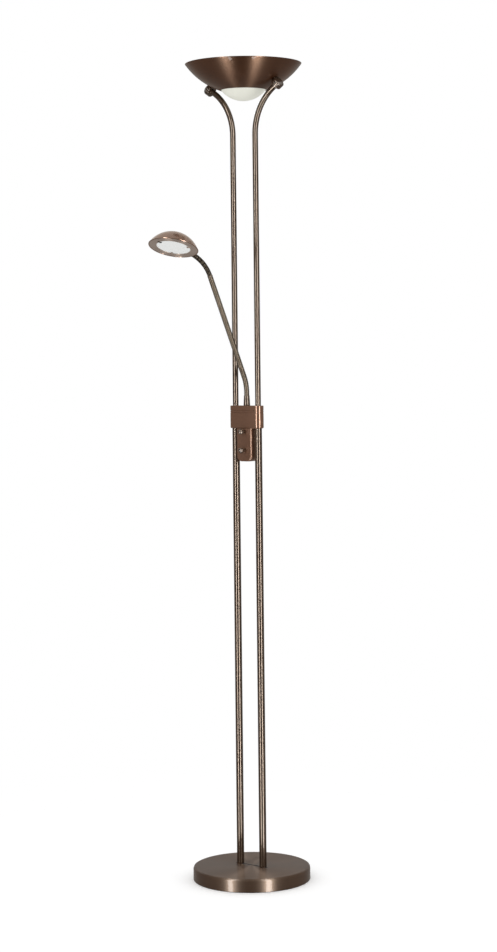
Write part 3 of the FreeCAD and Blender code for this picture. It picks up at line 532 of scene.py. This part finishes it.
def tube(piece: Piece, path: Sequence[Vector], radius: float, wall: float, steps: int = 48,
         rib_depth: float = 0.0) -> bpy.types.Object:
    """Draw a round tube along a path that stays in one upright plane.

    Args:
        piece: What the piece is.
        path: The centre line's points.
        radius: The outer radius.
        wall: The wall's thickness.
        steps: How many points there are all round.
        rib_depth: The depth of the ribs, one to every RIB_POINTS points; 0 leaves the tube smooth.

    Returns:
        The object.
    """
    reach = path[-1] - path[0]
    across = Vector((0, 1, 0)) if abs(reach.x) > abs(reach.y) else Vector((1, 0, 0))
    angles = [2 * math.pi * k / steps for k in range(steps)]
    outside: list[Loop] = []
    inside: list[Loop] = []
    for index, centre in enumerate(path):
        ahead = path[min(index + 1, len(path) - 1)] - path[max(index - 1, 0)]
        side = ahead.normalized().cross(across)
        outer = radius - rib_depth * math.sin(math.pi * index / RIB_POINTS) ** 2
        for rows, size in ((outside, outer), (inside, radius - wall)):
            rows.append([centre + (across * math.cos(a) + side * math.sin(a)) * size for a in angles])
    return piece.make(*skin(outside + inside[::-1], ring=True))


def grooved(feet: Sequence[Point], depth: float, width: float) -> list[Point]:
    """The corners of grooves whose lower edges are at the feet, from the foot up."""
    return [(radius - inset, foot + rise) for radius, foot in feet
            for inset, rise in ((0, 0), (depth, 0), (depth, width), (0, width))]


def wall_of(bore: float, radius: float, low: float, high: float) -> list[Point]:
    """The corners of an upright wall, from its foot inside round to its top inside."""
    return [(bore, low), (radius, low), (radius, high), (bore, high)]


def aimed(origin: Vector, direction: Vector) -> Matrix:
    """A place whose +Z points along a direction."""
    return Matrix.Translation(origin) @ direction.to_track_quat("Z", "Y").to_matrix().to_4x4()


def turn_about(axis: str, degrees: float) -> Matrix:
    """A turn about an axis."""
    return Matrix.Rotation(math.radians(degrees), 4, axis)


def joint_place(name: str) -> Vector:
    """Where a joint's axis passes."""
    return Vector(next(joint["pos_m"] for joint in frame["joints"] if joint["name"] == name))


def neck_pitch() -> float:
    """The distance from one ball of the neck to the next."""
    return (joint_place("neck_turn_1") - joint_place("neck_tilt_1")).length


# ---------------------------------------------------------------- sub-assemblies
@dataclass
class Base:
    """The weighted foot: its cover, and the thin dark strip between the stems."""

    wall: float = 1.5 * MM
    edge_radius: float = 6.0 * MM
    foot_edges: tuple[float, float] = (0.3 * MM, 0.4 * MM)
    foot_inset: float = 0.3 * MM
    foot_rise: float = 0.6 * MM
    strip_rise: float = 0.4 * MM
    strip_width: float = 4.0 * MM
    strip_core: float = 0.2 * MM
    strip_edges: tuple[float, float] = (0.2 * MM, 0.3 * MM)

    def build(self) -> None:
        """Build the cover and the strip."""
        low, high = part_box("base_cover")
        radius, inner, ceiling = high.x, high.x - self.wall, high.z - self.wall
        corners = [(inner, low.z), (radius - self.foot_inset, low.z), (radius, low.z + self.foot_rise),
                   (radius, high.z), (0.0, high.z)]
        profile = softened(corners, (0, *self.foot_edges, self.edge_radius, 0), steps=10)
        profile += [(0.0, ceiling), (inner, ceiling), (inner, low.z)]
        turned(Piece("base_cover_shell", "base_cover", "base_bronze"), profile, steps=192)

        low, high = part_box("locating_strip")
        half, top = self.strip_width / 2, high.z + self.strip_rise
        profile = softened(wall_of(self.strip_core, half, low.z, top), (0, *self.strip_edges, 0), steps=4)
        # The strip takes the near-black finish of the dark line between the stems.
        turned(Piece("locating_strip_bar", "locating_strip", "black_felt", slot="black_rubber"), profile,
               half_spacing=high.x - half / 2, steps=32)


@dataclass
class Stems:
    """The two stems: thick lower tubes, thin upper tubes that curve outwards."""

    lower_wall: float = 1.2 * MM
    upper_wall: float = 1.3 * MM
    end_lean: float = 34.0
    end_straight: float = 7.0 * MM
    foot_round: float = 0.8 * MM

    def build(self) -> None:
        """Build all four tubes."""
        for side, name in SIDES:
            self.lower("lower_stem_" + name)
            self.upper("upper_stem_" + name, side)

    def lower(self, node: str) -> None:
        """Build one lower tube, in place of its CAD node."""
        low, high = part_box(node)
        radius = (high.x - low.x) / 2
        corners = wall_of(radius - self.lower_wall, radius, low.z, high.z)
        profile = softened(corners, (0, self.foot_round, self.foot_round, 0), steps=3)
        turned(Piece(node + "_tube", node, "stem_bronze"), profile,
               Matrix.Translation(((low.x + high.x) / 2, 0, 0)), ring=True, steps=64)

    def upper(self, node: str, side: int) -> None:
        """Build one upper tube.

        Args:
            node: The CAD node that it replaces.
            side: -1 or 1.
        """
        low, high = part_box(node)
        near, far = (high.x, low.x) if side < 0 else (low.x, high.x)
        radius = (high.y - low.y) / 2
        stem_x = abs(near) + radius
        lean = math.radians(self.end_lean)
        end = Vector((side * (abs(far) - radius * math.sin(lean)), 0, high.z - radius * math.cos(lean)))
        corner = Vector((side * stem_x, 0, end.z - (abs(end.x) - stem_x) * math.tan(lean)))
        bend_radius = ((end - corner).length - self.end_straight) / math.tan((math.pi / 2 - lean) / 2)
        path = bent_path(Vector((side * stem_x, 0, low.z)), corner, end, bend_radius)
        tube(Piece(node + "_tube", node, "stem_bronze"), path, radius, self.upper_wall)


@dataclass
class Junction:
    """The stadium-shaped collar and its cap, the switch housing and its two dials."""

    wall: float = 2.0 * MM
    core: float = 0.5 * MM
    groove_depth: float = 0.8 * MM
    groove_width: float = 1.2 * MM
    groove_edge: float = 0.25 * MM
    bead_height: float = 3.6 * MM
    lower_edge: float = 2.5 * MM
    cap_edge: float = 0.8 * MM
    cap_foot: float = 0.3 * MM
    housing_corner: float = 12.0 * MM
    housing_edge: float = 3.0 * MM
    seam_edge: float = 0.2 * MM
    back_edge: float = 0.8 * MM
    dial_dome: float = 4.0 * MM
    dial_skirt: float = 1.2 * MM
    dial_edge: float = 0.5 * MM
    dial_lift: float = 0.3 * MM

    def build(self) -> None:
        """Build the collar, the cap, the housing and the dials."""
        # The collar, cap and housing wear the bronze lightened with painted sheen.
        self.collar()
        self.cap()
        self.housing("switch_housing", self.housing_edge, self.seam_edge)
        self.housing("housing_back_cover", self.seam_edge, self.back_edge)
        for name in ("upper", "lower"):
            self.dial(name)

    def cap(self) -> None:
        """Build the lid, which stands on the collar."""
        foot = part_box("junction_collar")[1]
        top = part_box("junction_cap")[1].z
        corners = [(foot.y - self.wall, foot.z), (foot.y, foot.z), (foot.y, top), (self.core, top)]
        turned(Piece("junction_cap_lid", "junction_cap", "satin_bronze"),
               softened(corners, (0, self.cap_foot, self.cap_edge, 0)), half_spacing=foot.x - foot.y)

    def collar(self) -> None:
        """Build the collar with its two shadow grooves."""
        low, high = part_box("junction_collar")
        radius, top, soft = high.y, high.z, self.groove_edge
        second = top - self.groove_width
        first = second - self.bead_height - self.groove_width
        corners = [(self.core, low.z), (radius, low.z)]
        corners += grooved(((radius, first), (radius, second)), self.groove_depth, self.groove_width)[:-1]
        corners.append((radius - self.wall, top))
        turned(Piece("junction_collar_body", "junction_collar", "satin_bronze"),
               softened(corners, (0, self.lower_edge, soft, 0, 0, soft, soft, 0, 0, 0)),
               half_spacing=high.x - radius)

    def housing_loop(self, half: float, bottom: float, top: float, inset: float) -> list[Point]:
        """The housing's front outline, square above and rounded below.

        Args:
            half: Half its width.
            bottom: Its lowest height.
            top: Its highest height.
            inset: How far the loop lies inside that outline.

        Returns:
            (x, z) of each point.
        """
        left, right, low = -half + inset, half - inset, bottom + inset
        radius = self.housing_corner - inset
        loop = [(right, top), (left, top)]
        for centre_x, start in ((left + radius, 180), (right - radius, 270)):
            for step in range(13):
                angle = math.radians(start + 90 * step / 12)
                loop.append((centre_x + radius * math.cos(angle), low + radius + radius * math.sin(angle)))
        return loop

    def housing(self, node: str, front_edge: float, back_edge: float) -> None:
        """Build the switch housing or its back cover as a softened slab.

        Args:
            node: The CAD node that it replaces.
            front_edge: The rounding of its front edge.
            back_edge: The rounding of its back edge.
        """
        low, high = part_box(node)
        rows: list[Loop] = []
        steps = 6
        for edge, sign, plane in ((front_edge, 1, low.y), (back_edge, -1, high.y)):
            for step in range(steps + 1)[::sign]:
                angle = math.pi / 2 * step / steps
                y = plane + sign * edge * (1 - math.cos(angle))
                loop = self.housing_loop(high.x, low.z, high.z, edge * (1 - math.sin(angle)))
                rows.append([Vector((x, y, z)) for x, z in loop])
        Piece(node + "_shell", node, "satin_bronze").make(*skin(rows))

    def dial(self, name: str) -> None:
        """Build one domed knob, the "upper" or the "lower" one."""
        low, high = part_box(name + "_knob")
        radius = (high.x - low.x) / 2
        length = high.y - low.y
        skirt = length - self.dial_dome
        sphere = (radius ** 2 + self.dial_dome ** 2) / (2 * self.dial_dome)
        corners = softened([(radius - self.dial_skirt, 0), (radius, 0), (radius, skirt)],
                           (0, self.dial_edge, 0))
        dome = circle_arc(sphere, length - sphere, math.asin(radius / sphere), 0, 14)
        place = aimed(Vector((0, high.y, (low.z + high.z) / 2)), Vector((0, -1, 0)))
        turned(Piece(name + "_knob_cap", name + "_knob", "polished_bronze", name + "_dial"),
               [(0.0, self.dial_lift)] + corners + dome[1:], place, steps=48)


@dataclass
class ReadingArm:
    """The swivel socket, the rigid bent tube and the ribbed flexible neck."""

    lean: float = 27.6
    bend_radius: float = 80.0 * MM
    wall: float = 1.3 * MM
    end_lean: float = 70.0
    corner_height: float = 47.6 * MM
    tube_rib_pitch: float = 4.2 * MM
    tube_rib_depth: float = 0.8 * MM
    socket_lift: float = 0.15 * MM
    socket_foot: float = 7.3 * MM
    socket_top: float = 6.3 * MM
    socket_bore: float = 5.0 * MM
    socket_rings: tuple[float, ...] = (8 / 12, 10 / 12)
    groove_depth: float = 0.45 * MM
    groove_width: float = 0.8 * MM
    groove_edge: float = 0.2 * MM
    socket_edge: float = 0.5 * MM
    relief: float = 2.4 * MM
    link_count: int = 8
    ribs: int = 4
    rib_samples: int = 10
    rib_share: float = 0.94
    crest: float = 5.3 * MM
    root: float = 4.55 * MM
    ball: float = 3.9 * MM
    ball_bore: float = 2.2 * MM
    ball_gap: float = 0.1 * MM
    cup_depth: float = 0.6 * MM
    cup_floor: float = 3.0 * MM
    ferrule: float = 5.0 * MM
    ferrule_length: float = 14.0 * MM

    def build(self) -> None:
        """Build the socket, the tube and the neck."""
        self.socket()
        self.arm()
        for link in range(1, self.link_count + 1):
            self.link(link)

    def socket(self) -> None:
        """Build the conical socket with its two rings."""
        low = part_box("junction_cap")[1].z + self.socket_lift
        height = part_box("arm_tube")[0].z - low
        taper = self.socket_top - self.socket_foot
        feet = [(self.socket_foot + taper * share, height * share) for share in self.socket_rings]
        corners = [(self.socket_bore, 0.0), (self.socket_foot, 0.0)]
        corners += grooved(feet, self.groove_depth, self.groove_width)
        corners += [(self.socket_top, height), (self.socket_bore, height)]
        radii = [0, self.socket_edge] + [self.groove_edge, 0, 0, self.groove_edge] * len(feet)
        turned(Piece("arm_socket_cone", "arm_socket", "stem_bronze", "arm"),
               softened(corners, radii + [self.socket_edge, 0], steps=4), Matrix.Translation((0, 0, low)),
               ring=True, steps=64)

    def arm(self) -> None:
        """Build the rigid tube, with shallow ribs."""
        low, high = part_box("arm_tube")
        corner = Vector((0, 0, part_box("junction_cap")[1].z + self.corner_height))
        lean = math.radians(self.lean)
        end = joint_place("neck_tilt_1") - Vector((0, -math.sin(lean), math.cos(lean))) * self.relief
        path = bent_path(Vector((0, 0, low.z)), corner, end, self.bend_radius)
        points: list[Vector] = []
        for first, last in zip(path, path[1:]):
            count = max(1, round((last - first).length / (self.tube_rib_pitch / RIB_POINTS)))
            points += [first.lerp(last, step / count) for step in range(count)]
        tube(Piece("arm_tube_bent", "arm_tube", "arm_bronze", "arm"), points + [path[-1]], high.x, self.wall,
             steps=32, rib_depth=self.tube_rib_depth)

    def ribbed(self, rib_count: int, lowest: float, highest: float) -> list[Point]:
        """The outside of a link, with round-topped ribs like a wound wire.

        Args:
            rib_count: How many ribs it has.
            lowest: The height where they start.
            highest: The height where they stop.

        Returns:
            (distance from the axis, height) of each point.
        """
        points: list[Point] = []
        pitch = neck_pitch() / self.ribs
        for rib in range(rib_count):
            for step in range(self.rib_samples):
                offset = (step / (self.rib_samples - 1) - 0.5) * pitch * self.rib_share
                height = rib * pitch + offset
                if lowest <= height <= highest:
                    swell = math.sqrt(max(1 - (offset / (pitch * 0.5)) ** 2, 0.0))
                    radius = self.root + (self.crest - self.root) * swell
                    points.append((radius, max(height, -self.cup_depth)))
        return points

    def link(self, link: int) -> None:
        """Build one link of the neck.

        Args:
            link: 1 for the lowest.
        """
        joint = ("neck_tilt_%d" if link % 2 else "neck_turn_%d") % ((link + 1) // 2)
        lean = self.lean + (self.end_lean - self.lean) * math.sin(math.radians(90 * link / self.link_count))
        pitch = neck_pitch()
        profile = [(0.0, self.cup_floor), (self.ball + self.ball_gap, -self.cup_depth)]
        if link == self.link_count:
            profile += self.ribbed(self.ribs - 1, -math.inf, math.inf)
            reach = pitch + self.ferrule_length
            profile += [(self.ferrule, profile[-1][1] + self.ball_gap), (self.ferrule, reach), (0.0, reach)]
            body = "head"
        else:
            top = pitch - self.relief
            profile += self.ribbed(self.ribs, -self.cup_depth, top)
            profile.append((self.root, top))
            start = math.pi - math.asin(math.sqrt(self.ball ** 2 - self.relief ** 2) / self.ball)
            profile += circle_arc(self.ball, pitch, start, math.asin(self.ball_bore / self.ball), 12)
            profile.append((0.0, profile[-1][1]))
            body = "neck_%d" % link
        piece = Piece("neck_link_%d" % link, "gooseneck_%d" % link, "dark_bronze", body, "dark_bronze", 50.0)
        turned(piece, profile, Matrix.Translation(joint_place(joint)) @ turn_about("X", lean), steps=40)


@dataclass
class ReadingHead:
    """The dome-shaped reading head with its face ring and frosted lens."""

    tilt: float = -20.0
    roll: float = -4.2
    reach: float = 44.0 * MM
    neck_height: float = 11.4 * MM
    radius: float = 53.75 * MM
    height: float = 34.0 * MM
    wall: float = 1.0 * MM
    bead: float = 1.1 * MM
    bead_join: float = 2.6
    ring_inset: float = 0.5 * MM
    ring_radius: float = 51.8 * MM
    ring_bore: float = 36.5 * MM
    ring_thickness: float = 1.2 * MM
    ring_edges: tuple[float, float] = (0.35 * MM, 0.5 * MM)
    lens_gap: float = 0.05 * MM
    lens_radius: float = 39.5 * MM
    lens_thickness: float = 3.0 * MM
    clip_start: float = 254.0
    clip_width: float = 4.0 * MM
    clip_reach: float = 5.0 * MM
    clip_thickness: float = 0.6 * MM
    clip_edge: float = 0.2 * MM
    clip_fold: float = 0.25 * MM
    # Two of the clips share the ring's bronze, lightened with painted reflection.
    clip_finishes: tuple[str, ...] = ("blackened_steel", "ring_bronze", "ring_bronze")

    def build(self) -> None:
        """Build the shell, the ring, the clips and the lens."""
        turn = turn_about("X", self.tilt) @ turn_about("Y", self.roll)
        end = joint_place("neck_turn_4") - (turn @ Vector((0, neck_pitch(), 0)))
        place = Matrix.Translation(end - (turn @ Vector((0, self.reach, self.neck_height)))) @ turn
        self.shell(place)

        low = self.ring_inset
        high = low + self.ring_thickness
        corners = [(self.ring_bore, high), (self.ring_bore, low), (self.ring_radius, low),
                   (self.ring_radius, high)]
        profile = softened(corners + corners[:1], (0, *self.ring_edges, 0, 0), steps=4)[:-1]
        # The ring is in the bronze lightened with painted reflection of the bright surround.
        turned(Piece("head_face_ring", "head_ring", "ring_bronze", "head", "coppery_bronze"), profile, place,
               ring=True, steps=128)
        for index, finish in enumerate(self.clip_finishes):
            self.clip(index, finish, place @ turn_about("Z", self.clip_start + 120 * index))

        lens_low = high + self.lens_gap
        lens_top = lens_low + self.lens_thickness
        profile = [(self.lens_radius * step / 12, lens_low) for step in range(13)]
        turned(Piece("head_lens_disc", "head_lens", "lens_glass", "head", "frosted_glass"),
               profile + [(self.lens_radius, lens_top), (0.0, lens_top)], place, steps=96)

    def shell(self, place: Matrix) -> None:
        """Build the dome with the bead along its rim.

        Args:
            place: The head's frame: its rim's centre, with +Z out through the dome.
        """
        bead = self.bead
        sphere = (self.radius ** 2 + self.height ** 2) / (2 * self.height)
        inner = sphere - self.wall
        centre = self.height - sphere
        profile = circle_arc(inner, centre, 0, math.acos((bead - centre) / inner), 32)
        profile += [(self.radius - bead + bead * math.sin(turn), bead - bead * math.cos(turn))
                    for turn in (math.radians(15 * step) for step in range(-5, 9))]
        profile += circle_arc(sphere, centre, math.acos((self.bead_join * bead - centre) / sphere), 0, 40)
        # The dome's bronze is lightened with painted reflection of the bright surround.
        turned(Piece("head_dome", "head_shell", "coppery_bronze", "head", "coppery_bronze", sharp=60),
               profile[::-1], place, steps=128)

    def clip(self, index: int, finish: str, place: Matrix) -> None:
        """Build a spring clip that holds the lens to the ring.

        Args:
            index: The clip's index.
            finish: Its finish.
            place: The head's frame, turned to the clip.
        """
        thickness = self.clip_thickness
        face, low, top = self.ring_inset, self.ring_inset - thickness, self.ring_inset + thickness
        outer, inner = self.ring_bore + self.clip_width, self.ring_bore - self.clip_reach
        corners = [(outer, face), (outer, low), (inner, low), (inner, top), (inner + thickness, top),
                   (inner + 2 * thickness, face)]
        profile = softened(corners, (0, self.clip_fold, self.clip_fold, 0, 0, 0), steps=3)
        half = self.clip_width / 2
        rows = [[place @ Vector((x, y, z)) for x, z in profile]
                for y in (-half, -half + self.clip_edge, half - self.clip_edge, half)]
        Piece("lens_clip_%d" % (index + 1), "lens_clips", finish, "head", "blackened_steel").make(*skin(rows))


@dataclass
class Bowl:
    """The uplighter bowl, its frosted dish and the fittings that hold it."""

    sphere: float = 158.0 * MM
    wall: float = 1.0 * MM
    opening: float = 50.5 * MM
    lip: tuple[Point, ...] = ((0.2 * MM, 0.1 * MM), (0.5 * MM, 0.0), (1.0 * MM, 0.15 * MM))
    lip_outside: float = 0.15 * MM
    lip_inside: float = 1.6 * MM
    enamel_edge: float = 1.2 * MM
    glass_wall: float = 3.0 * MM
    glass_gap: float = 0.6 * MM
    glass_lift: float = 0.1 * MM
    glass_edges: tuple[float, float] = (0.8 * MM, 1.2 * MM)
    lean: float = 34.0
    saddle_radius: float = 13.0 * MM
    saddle_length: float = 13.0 * MM
    saddle_core: float = 4.0 * MM
    saddle_seat: float = 0.3 * MM
    saddle_inset: float = 0.02 * MM
    disc_length: float = 3.2 * MM
    disc_edge: float = 0.45 * MM
    groove_width: float = 1.0 * MM
    groove_depth: float = 1.6 * MM
    edge_radius: float = 2.2 * MM

    def build(self) -> None:
        """Build the shell, the glass dish and both fittings."""
        self.shell()
        self.dish()
        for side, name in SIDES:
            self.saddle(side, name)

    def centre(self) -> float:
        """The height of the centre of the bowl's sphere."""
        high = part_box("bowl_shell")[1]
        return high.z + math.sqrt(self.sphere ** 2 - high.x ** 2)

    def shell(self) -> None:
        """Build the spun shell: bronze outside, white inside."""
        radius, _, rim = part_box("bowl_shell")[1]
        centre = self.centre()
        profile: list[Point] = []
        inner = self.sphere - self.wall
        for sphere, edge, order in ((self.sphere, self.lip_outside, 1), (inner, self.lip_inside, -1)):
            ends = [math.pi - math.asin(size / sphere) for size in (self.opening, radius - edge)][::order]
            profile += circle_arc(sphere, centre, *ends, 48)
            if order > 0:
                profile += [(radius - inset, rim - drop) for inset, drop in self.lip]
        piece = turned(Piece("bowl_spun_shell", "bowl_shell", "brushed_bronze", sharp=60), profile, ring=True,
                       steps=192)
        piece.data.materials.append(paint("white_enamel"))
        for face in piece.data.polygons:
            outwards = Vector(face.center) - Vector((0, 0, centre))
            if outwards.length < self.sphere - self.wall * 0.7 and face.center.z < rim - self.enamel_edge:
                face.material_index = 1

    def dish(self) -> None:
        """Build the frosted dish that hangs in the opening."""
        low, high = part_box("glass_diffuser")
        neck = self.opening - self.glass_gap
        drop = math.sqrt((self.sphere - self.wall) ** 2 - self.opening ** 2)
        neck_z = self.centre() - drop + self.glass_lift
        depth = neck_z - low.z
        glass = (neck ** 2 + depth ** 2) / (2 * depth)
        glass_centre = low.z + glass
        inner = glass - self.glass_wall
        inner_half = math.acos((glass_centre - neck_z - self.glass_wall) / inner)
        outside = circle_arc(glass, glass_centre, math.pi, math.pi - math.asin(neck / glass), 32)
        inside = circle_arc(inner, glass_centre, math.pi - inner_half, math.pi, 32)
        lip = softened([outside[-1], (high.x, high.z - self.glass_wall), (high.x, high.z), inside[0]],
                       (0, *self.glass_edges, 0), steps=4)
        turned(Piece("glass_dish", "glass_diffuser", "frosted_glass", slot="frosted_glass", sharp=60),
               outside + lip[1:-1] + inside, steps=128)

    def saddle(self, side: int, name: str) -> None:
        """Build one fitting: three discs with grooves between them, the last one rounded.

        Args:
            side: -1 or 1.
            name: The side's name.
        """
        lean = math.radians(self.lean)
        reach = self.sphere + self.saddle_radius - self.saddle_seat
        middle = Vector((side * reach * math.sin(lean), 0, self.centre() - reach * math.cos(lean)))
        along = Vector((side * math.cos(lean), 0, math.sin(lean)))
        radius, soft = self.saddle_radius - self.saddle_inset, self.disc_edge
        first = self.disc_length
        feet = ((radius, first), (radius, first + self.groove_width + self.disc_length))
        corners = [(self.saddle_core, 0.0), (radius, 0.0)]
        corners += grooved(feet, self.groove_depth, self.groove_width)
        corners += [(radius, self.saddle_length), (0.0, self.saddle_length)]
        radii = [0, soft] + [soft, 0, 0, soft] * len(feet)
        turned(Piece("bowl_fitting_" + name, "bowl_saddle_" + name, "polished_bronze"),
               softened(corners, radii + [self.edge_radius, 0], steps=5),
               aimed(middle - along * (self.saddle_length / 2), along), steps=72)


class InnerParts:
    """The pieces whose CAD shape is right: they only get their finish."""

    def build(self) -> None:
        """Give each shown CAD node the finish of its material slot."""
        for entry in frame["record"]["subparts"]:
            slot = entry["material_slot"]
            materials = frame["nodes"][entry["node"]].data.materials
            materials.clear()
            materials.append(paint(slot if slot in FINISHES else "zinc_steel"))
            LOG.info("%s: finish %s", entry["node"], slot)


# ---------------------------------------------------------------- studio and camera
def around(degrees: float, distance: float, height: float) -> Vector:
    """A point around the lamp: 0 degrees is in front of it, and 90 on its right as +X."""
    angle = math.radians(degrees)
    return Vector((distance * math.sin(angle), -distance * math.cos(angle), height))


def staged(material: bpy.types.Material, verts: Sequence[Vector], faces: Sequence[Sequence[int]],
           unseen_by: Sequence[str]) -> None:
    """Make a mesh of the stage, called what its material is called.

    Args:
        material: Its material.
        verts: Its points.
        faces: Its faces.
        unseen_by: The kinds of rays that don't see it.
    """
    mesh = bpy.data.meshes.new(material.name)
    mesh.from_pydata([tuple(vert) for vert in verts], [], faces)
    mesh.materials.append(material)
    item = link_object(material.name, mesh)
    for ray in unseen_by:
        setattr(item, "visible_" + ray, False)


@dataclass
class Studio:
    """A plain pale floor, a white surround, soft strip lamps and cards that only gloss shows."""

    camera_turn: float = 38.5
    plain_level: float = 0.95
    floor_radius: float = 1.4
    floor_fade: tuple[float, float] = (0.25, 1.26)
    floor_colour: Colour = (0.94, 0.94, 0.94)
    floor_glow: float = 0.16
    steps: int = 64
    card_inner: float = 0.02
    card_outer: float = 6.0
    card_foot: float = -1.5
    card_height: float = 6.0
    front: float = 52.0
    front_level: float = 0.03
    side_level: float = 0.26
    window: float = 38.0
    window_level: float = 0.35
    window_height: float = 2.4
    strips: tuple[tuple[float, float, float], ...] = ((-41.0, 0.24, 24.0), (32.0, 0.29, 24.0))
    strip_distance: float = 1.5
    strip_height: float = 3.9
    strip_middle: float = 0.65

    def build(self) -> None:
        """Build the surround, the floor, the cards and the lamps."""
        self.world()
        self.floor()
        side = (self.front + 180 - self.window) / 2
        self.card("front_card", self.front_level, 0, self.front, self.card_height)
        self.card("left_card", self.side_level, -side, side - self.front, self.card_height)
        self.card("right_card", self.side_level, side, side - self.front, self.card_height)
        self.card("rear_card", self.window_level, 180, self.window, self.window_height)
        for turn, width, radiance in self.strips:
            self.strip(turn, width, radiance)

    def world(self) -> None:
        """A white surround of strength 1 for the camera, gloss and glass, and plain light for the rest."""
        tree = NodeTree(bpy.data.worlds.new("surround"))
        plain, white = (tree.add("Background", in_Color=(1.0, 1.0, 1.0, 1.0), in_Strength=strength)
                        for strength in (self.plain_level, 1.0))
        path = tree.add("LightPath")
        seen = path.outputs["Is Camera Ray"]
        for name in ("Is Glossy Ray", "Is Transmission Ray"):
            either = tree.add("Math", operation="MAXIMUM")
            tree.join(seen, either.inputs[0])
            tree.join(path.outputs[name], either.inputs[1])
            seen = either.outputs[0]
        tree.mix(seen, plain, white)
        bpy.context.scene.world = tree.owner

    def card(self, name: str, level: float, middle: float, half: float, top: float) -> None:
        """A card curved round the lamp that only gloss shows.

        Args:
            name: The card's name.
            level: Its brightness, where the white surround is 1.
            middle: The direction of its middle, in degrees from the camera's direction.
            half: Half the angle that it covers.
            top: The height of its upper edge.
        """
        tree = NodeTree(bpy.data.materials.new(name))
        tree.join(tree.add("Emission", in_Strength=level).outputs[0], tree.output.inputs["Surface"])
        first, row = self.camera_turn + middle - half, self.steps + 1
        foot = self.card_foot
        edges = ((self.card_inner, foot), (self.card_outer, foot), (self.card_outer, top))
        verts = [around(first + 2 * half * step / self.steps, radius, height)
                 for radius, height in edges for step in range(row)]
        faces = [[k, k + 1, k + row + 1, k + row]
                 for start in (0, row) for k in range(start, start + self.steps)]
        staged(tree.owner, verts, faces, ("camera", "diffuse", "transmission", "volume_scatter", "shadow"))

    def floor(self) -> None:
        """A pale floor that keeps the lamp's shadow and runs out softly into the white surround."""
        tree = NodeTree(bpy.data.materials.new("floor"))
        matt = tree.add("BsdfDiffuse", in_Color=(*self.floor_colour, 1.0))
        glow = tree.add("Emission")
        seen = tree.add("LightPath").outputs["Is Camera Ray"]
        tree.join(tree.scaled(seen, 0.0, self.floor_glow), glow.inputs["Strength"])
        lit = tree.add("AddShader")
        tree.join(matt.outputs[0], lit.inputs[0])
        tree.join(glow.outputs[0], lit.inputs[1])
        near, far = self.floor_fade
        fade = tree.through(tree.length(tree.coordinates()), "MapRange", "Value", "Result",
                            interpolation_type="SMOOTHSTEP", in_From_Min=near, in_From_Max=far)
        tree.mix(fade, lit, tree.add("BsdfTransparent"))
        rim = [around(90 + 360 * k / self.steps, self.floor_radius, 0) for k in range(self.steps)]
        staged(tree.owner, rim, [list(range(self.steps))], ("glossy", "shadow"))

    def strip(self, turn: float, width: float, radiance: float) -> None:
        """A tall soft lamp that gives the metal its upright highlights.

        Args:
            turn: Its direction from the lamp, in degrees from the camera's direction.
            width: Its width.
            radiance: How bright its face is, where the white surround is 1.
        """
        light = bpy.data.lights.new("strip", "AREA")
        light.shape = "RECTANGLE"
        light.size, light.size_y = width, self.strip_height
        light.energy = radiance * math.pi * width * self.strip_height
        lamp = link_object("strip", light)
        lamp.location = around(self.camera_turn + turn, self.strip_distance, self.strip_middle)
        lamp.rotation_mode = "QUATERNION"
        aim = Vector((-lamp.location.x, -lamp.location.y, 0.0))
        lamp.rotation_quaternion = aim.to_track_quat("-Z", "Y")
        lamp.visible_camera = lamp.visible_diffuse = False


@dataclass
class PhotoCamera:
    """The photograph's viewpoint: level, with the picture shifted down the sensor."""

    distance: float = 4.698
    height: float = 1.158
    turn: float = 38.5
    lens: float = 80.4
    sensor: float = 36.0
    roll: float = 0.62
    shift: tuple[float, float] = (0.0023, -0.1277)

    def build(self) -> None:
        """Place the camera and make it the scene's."""
        data = bpy.data.cameras.new("photo_camera")
        data.lens, data.sensor_width = self.lens, self.sensor
        data.shift_x, data.shift_y = self.shift
        camera = link_object("photo_camera", data)
        camera.location = around(self.turn, self.distance, self.height)
        camera.rotation_mode = "QUATERNION"
        level = (Vector((0, 0, self.height)) - Vector(camera.location)).to_track_quat("-Z", "Y")
        camera.rotation_quaternion = level @ turn_about("Z", -self.roll).to_quaternion()
        bpy.context.scene.camera = camera


def main() -> None:
    """Dress the lamp, light it and set the camera."""
    logging.basicConfig(level=logging.INFO)
    bpy.context.scene.view_settings.view_transform = "Standard"
    PhotoCamera().build()
    InnerParts().build()
    for assembly in (Base(), Stems(), Junction(), ReadingArm(), ReadingHead(), Bowl()):
        assembly.build()
    Studio().build()


if __name__ == "__main__":
    main()
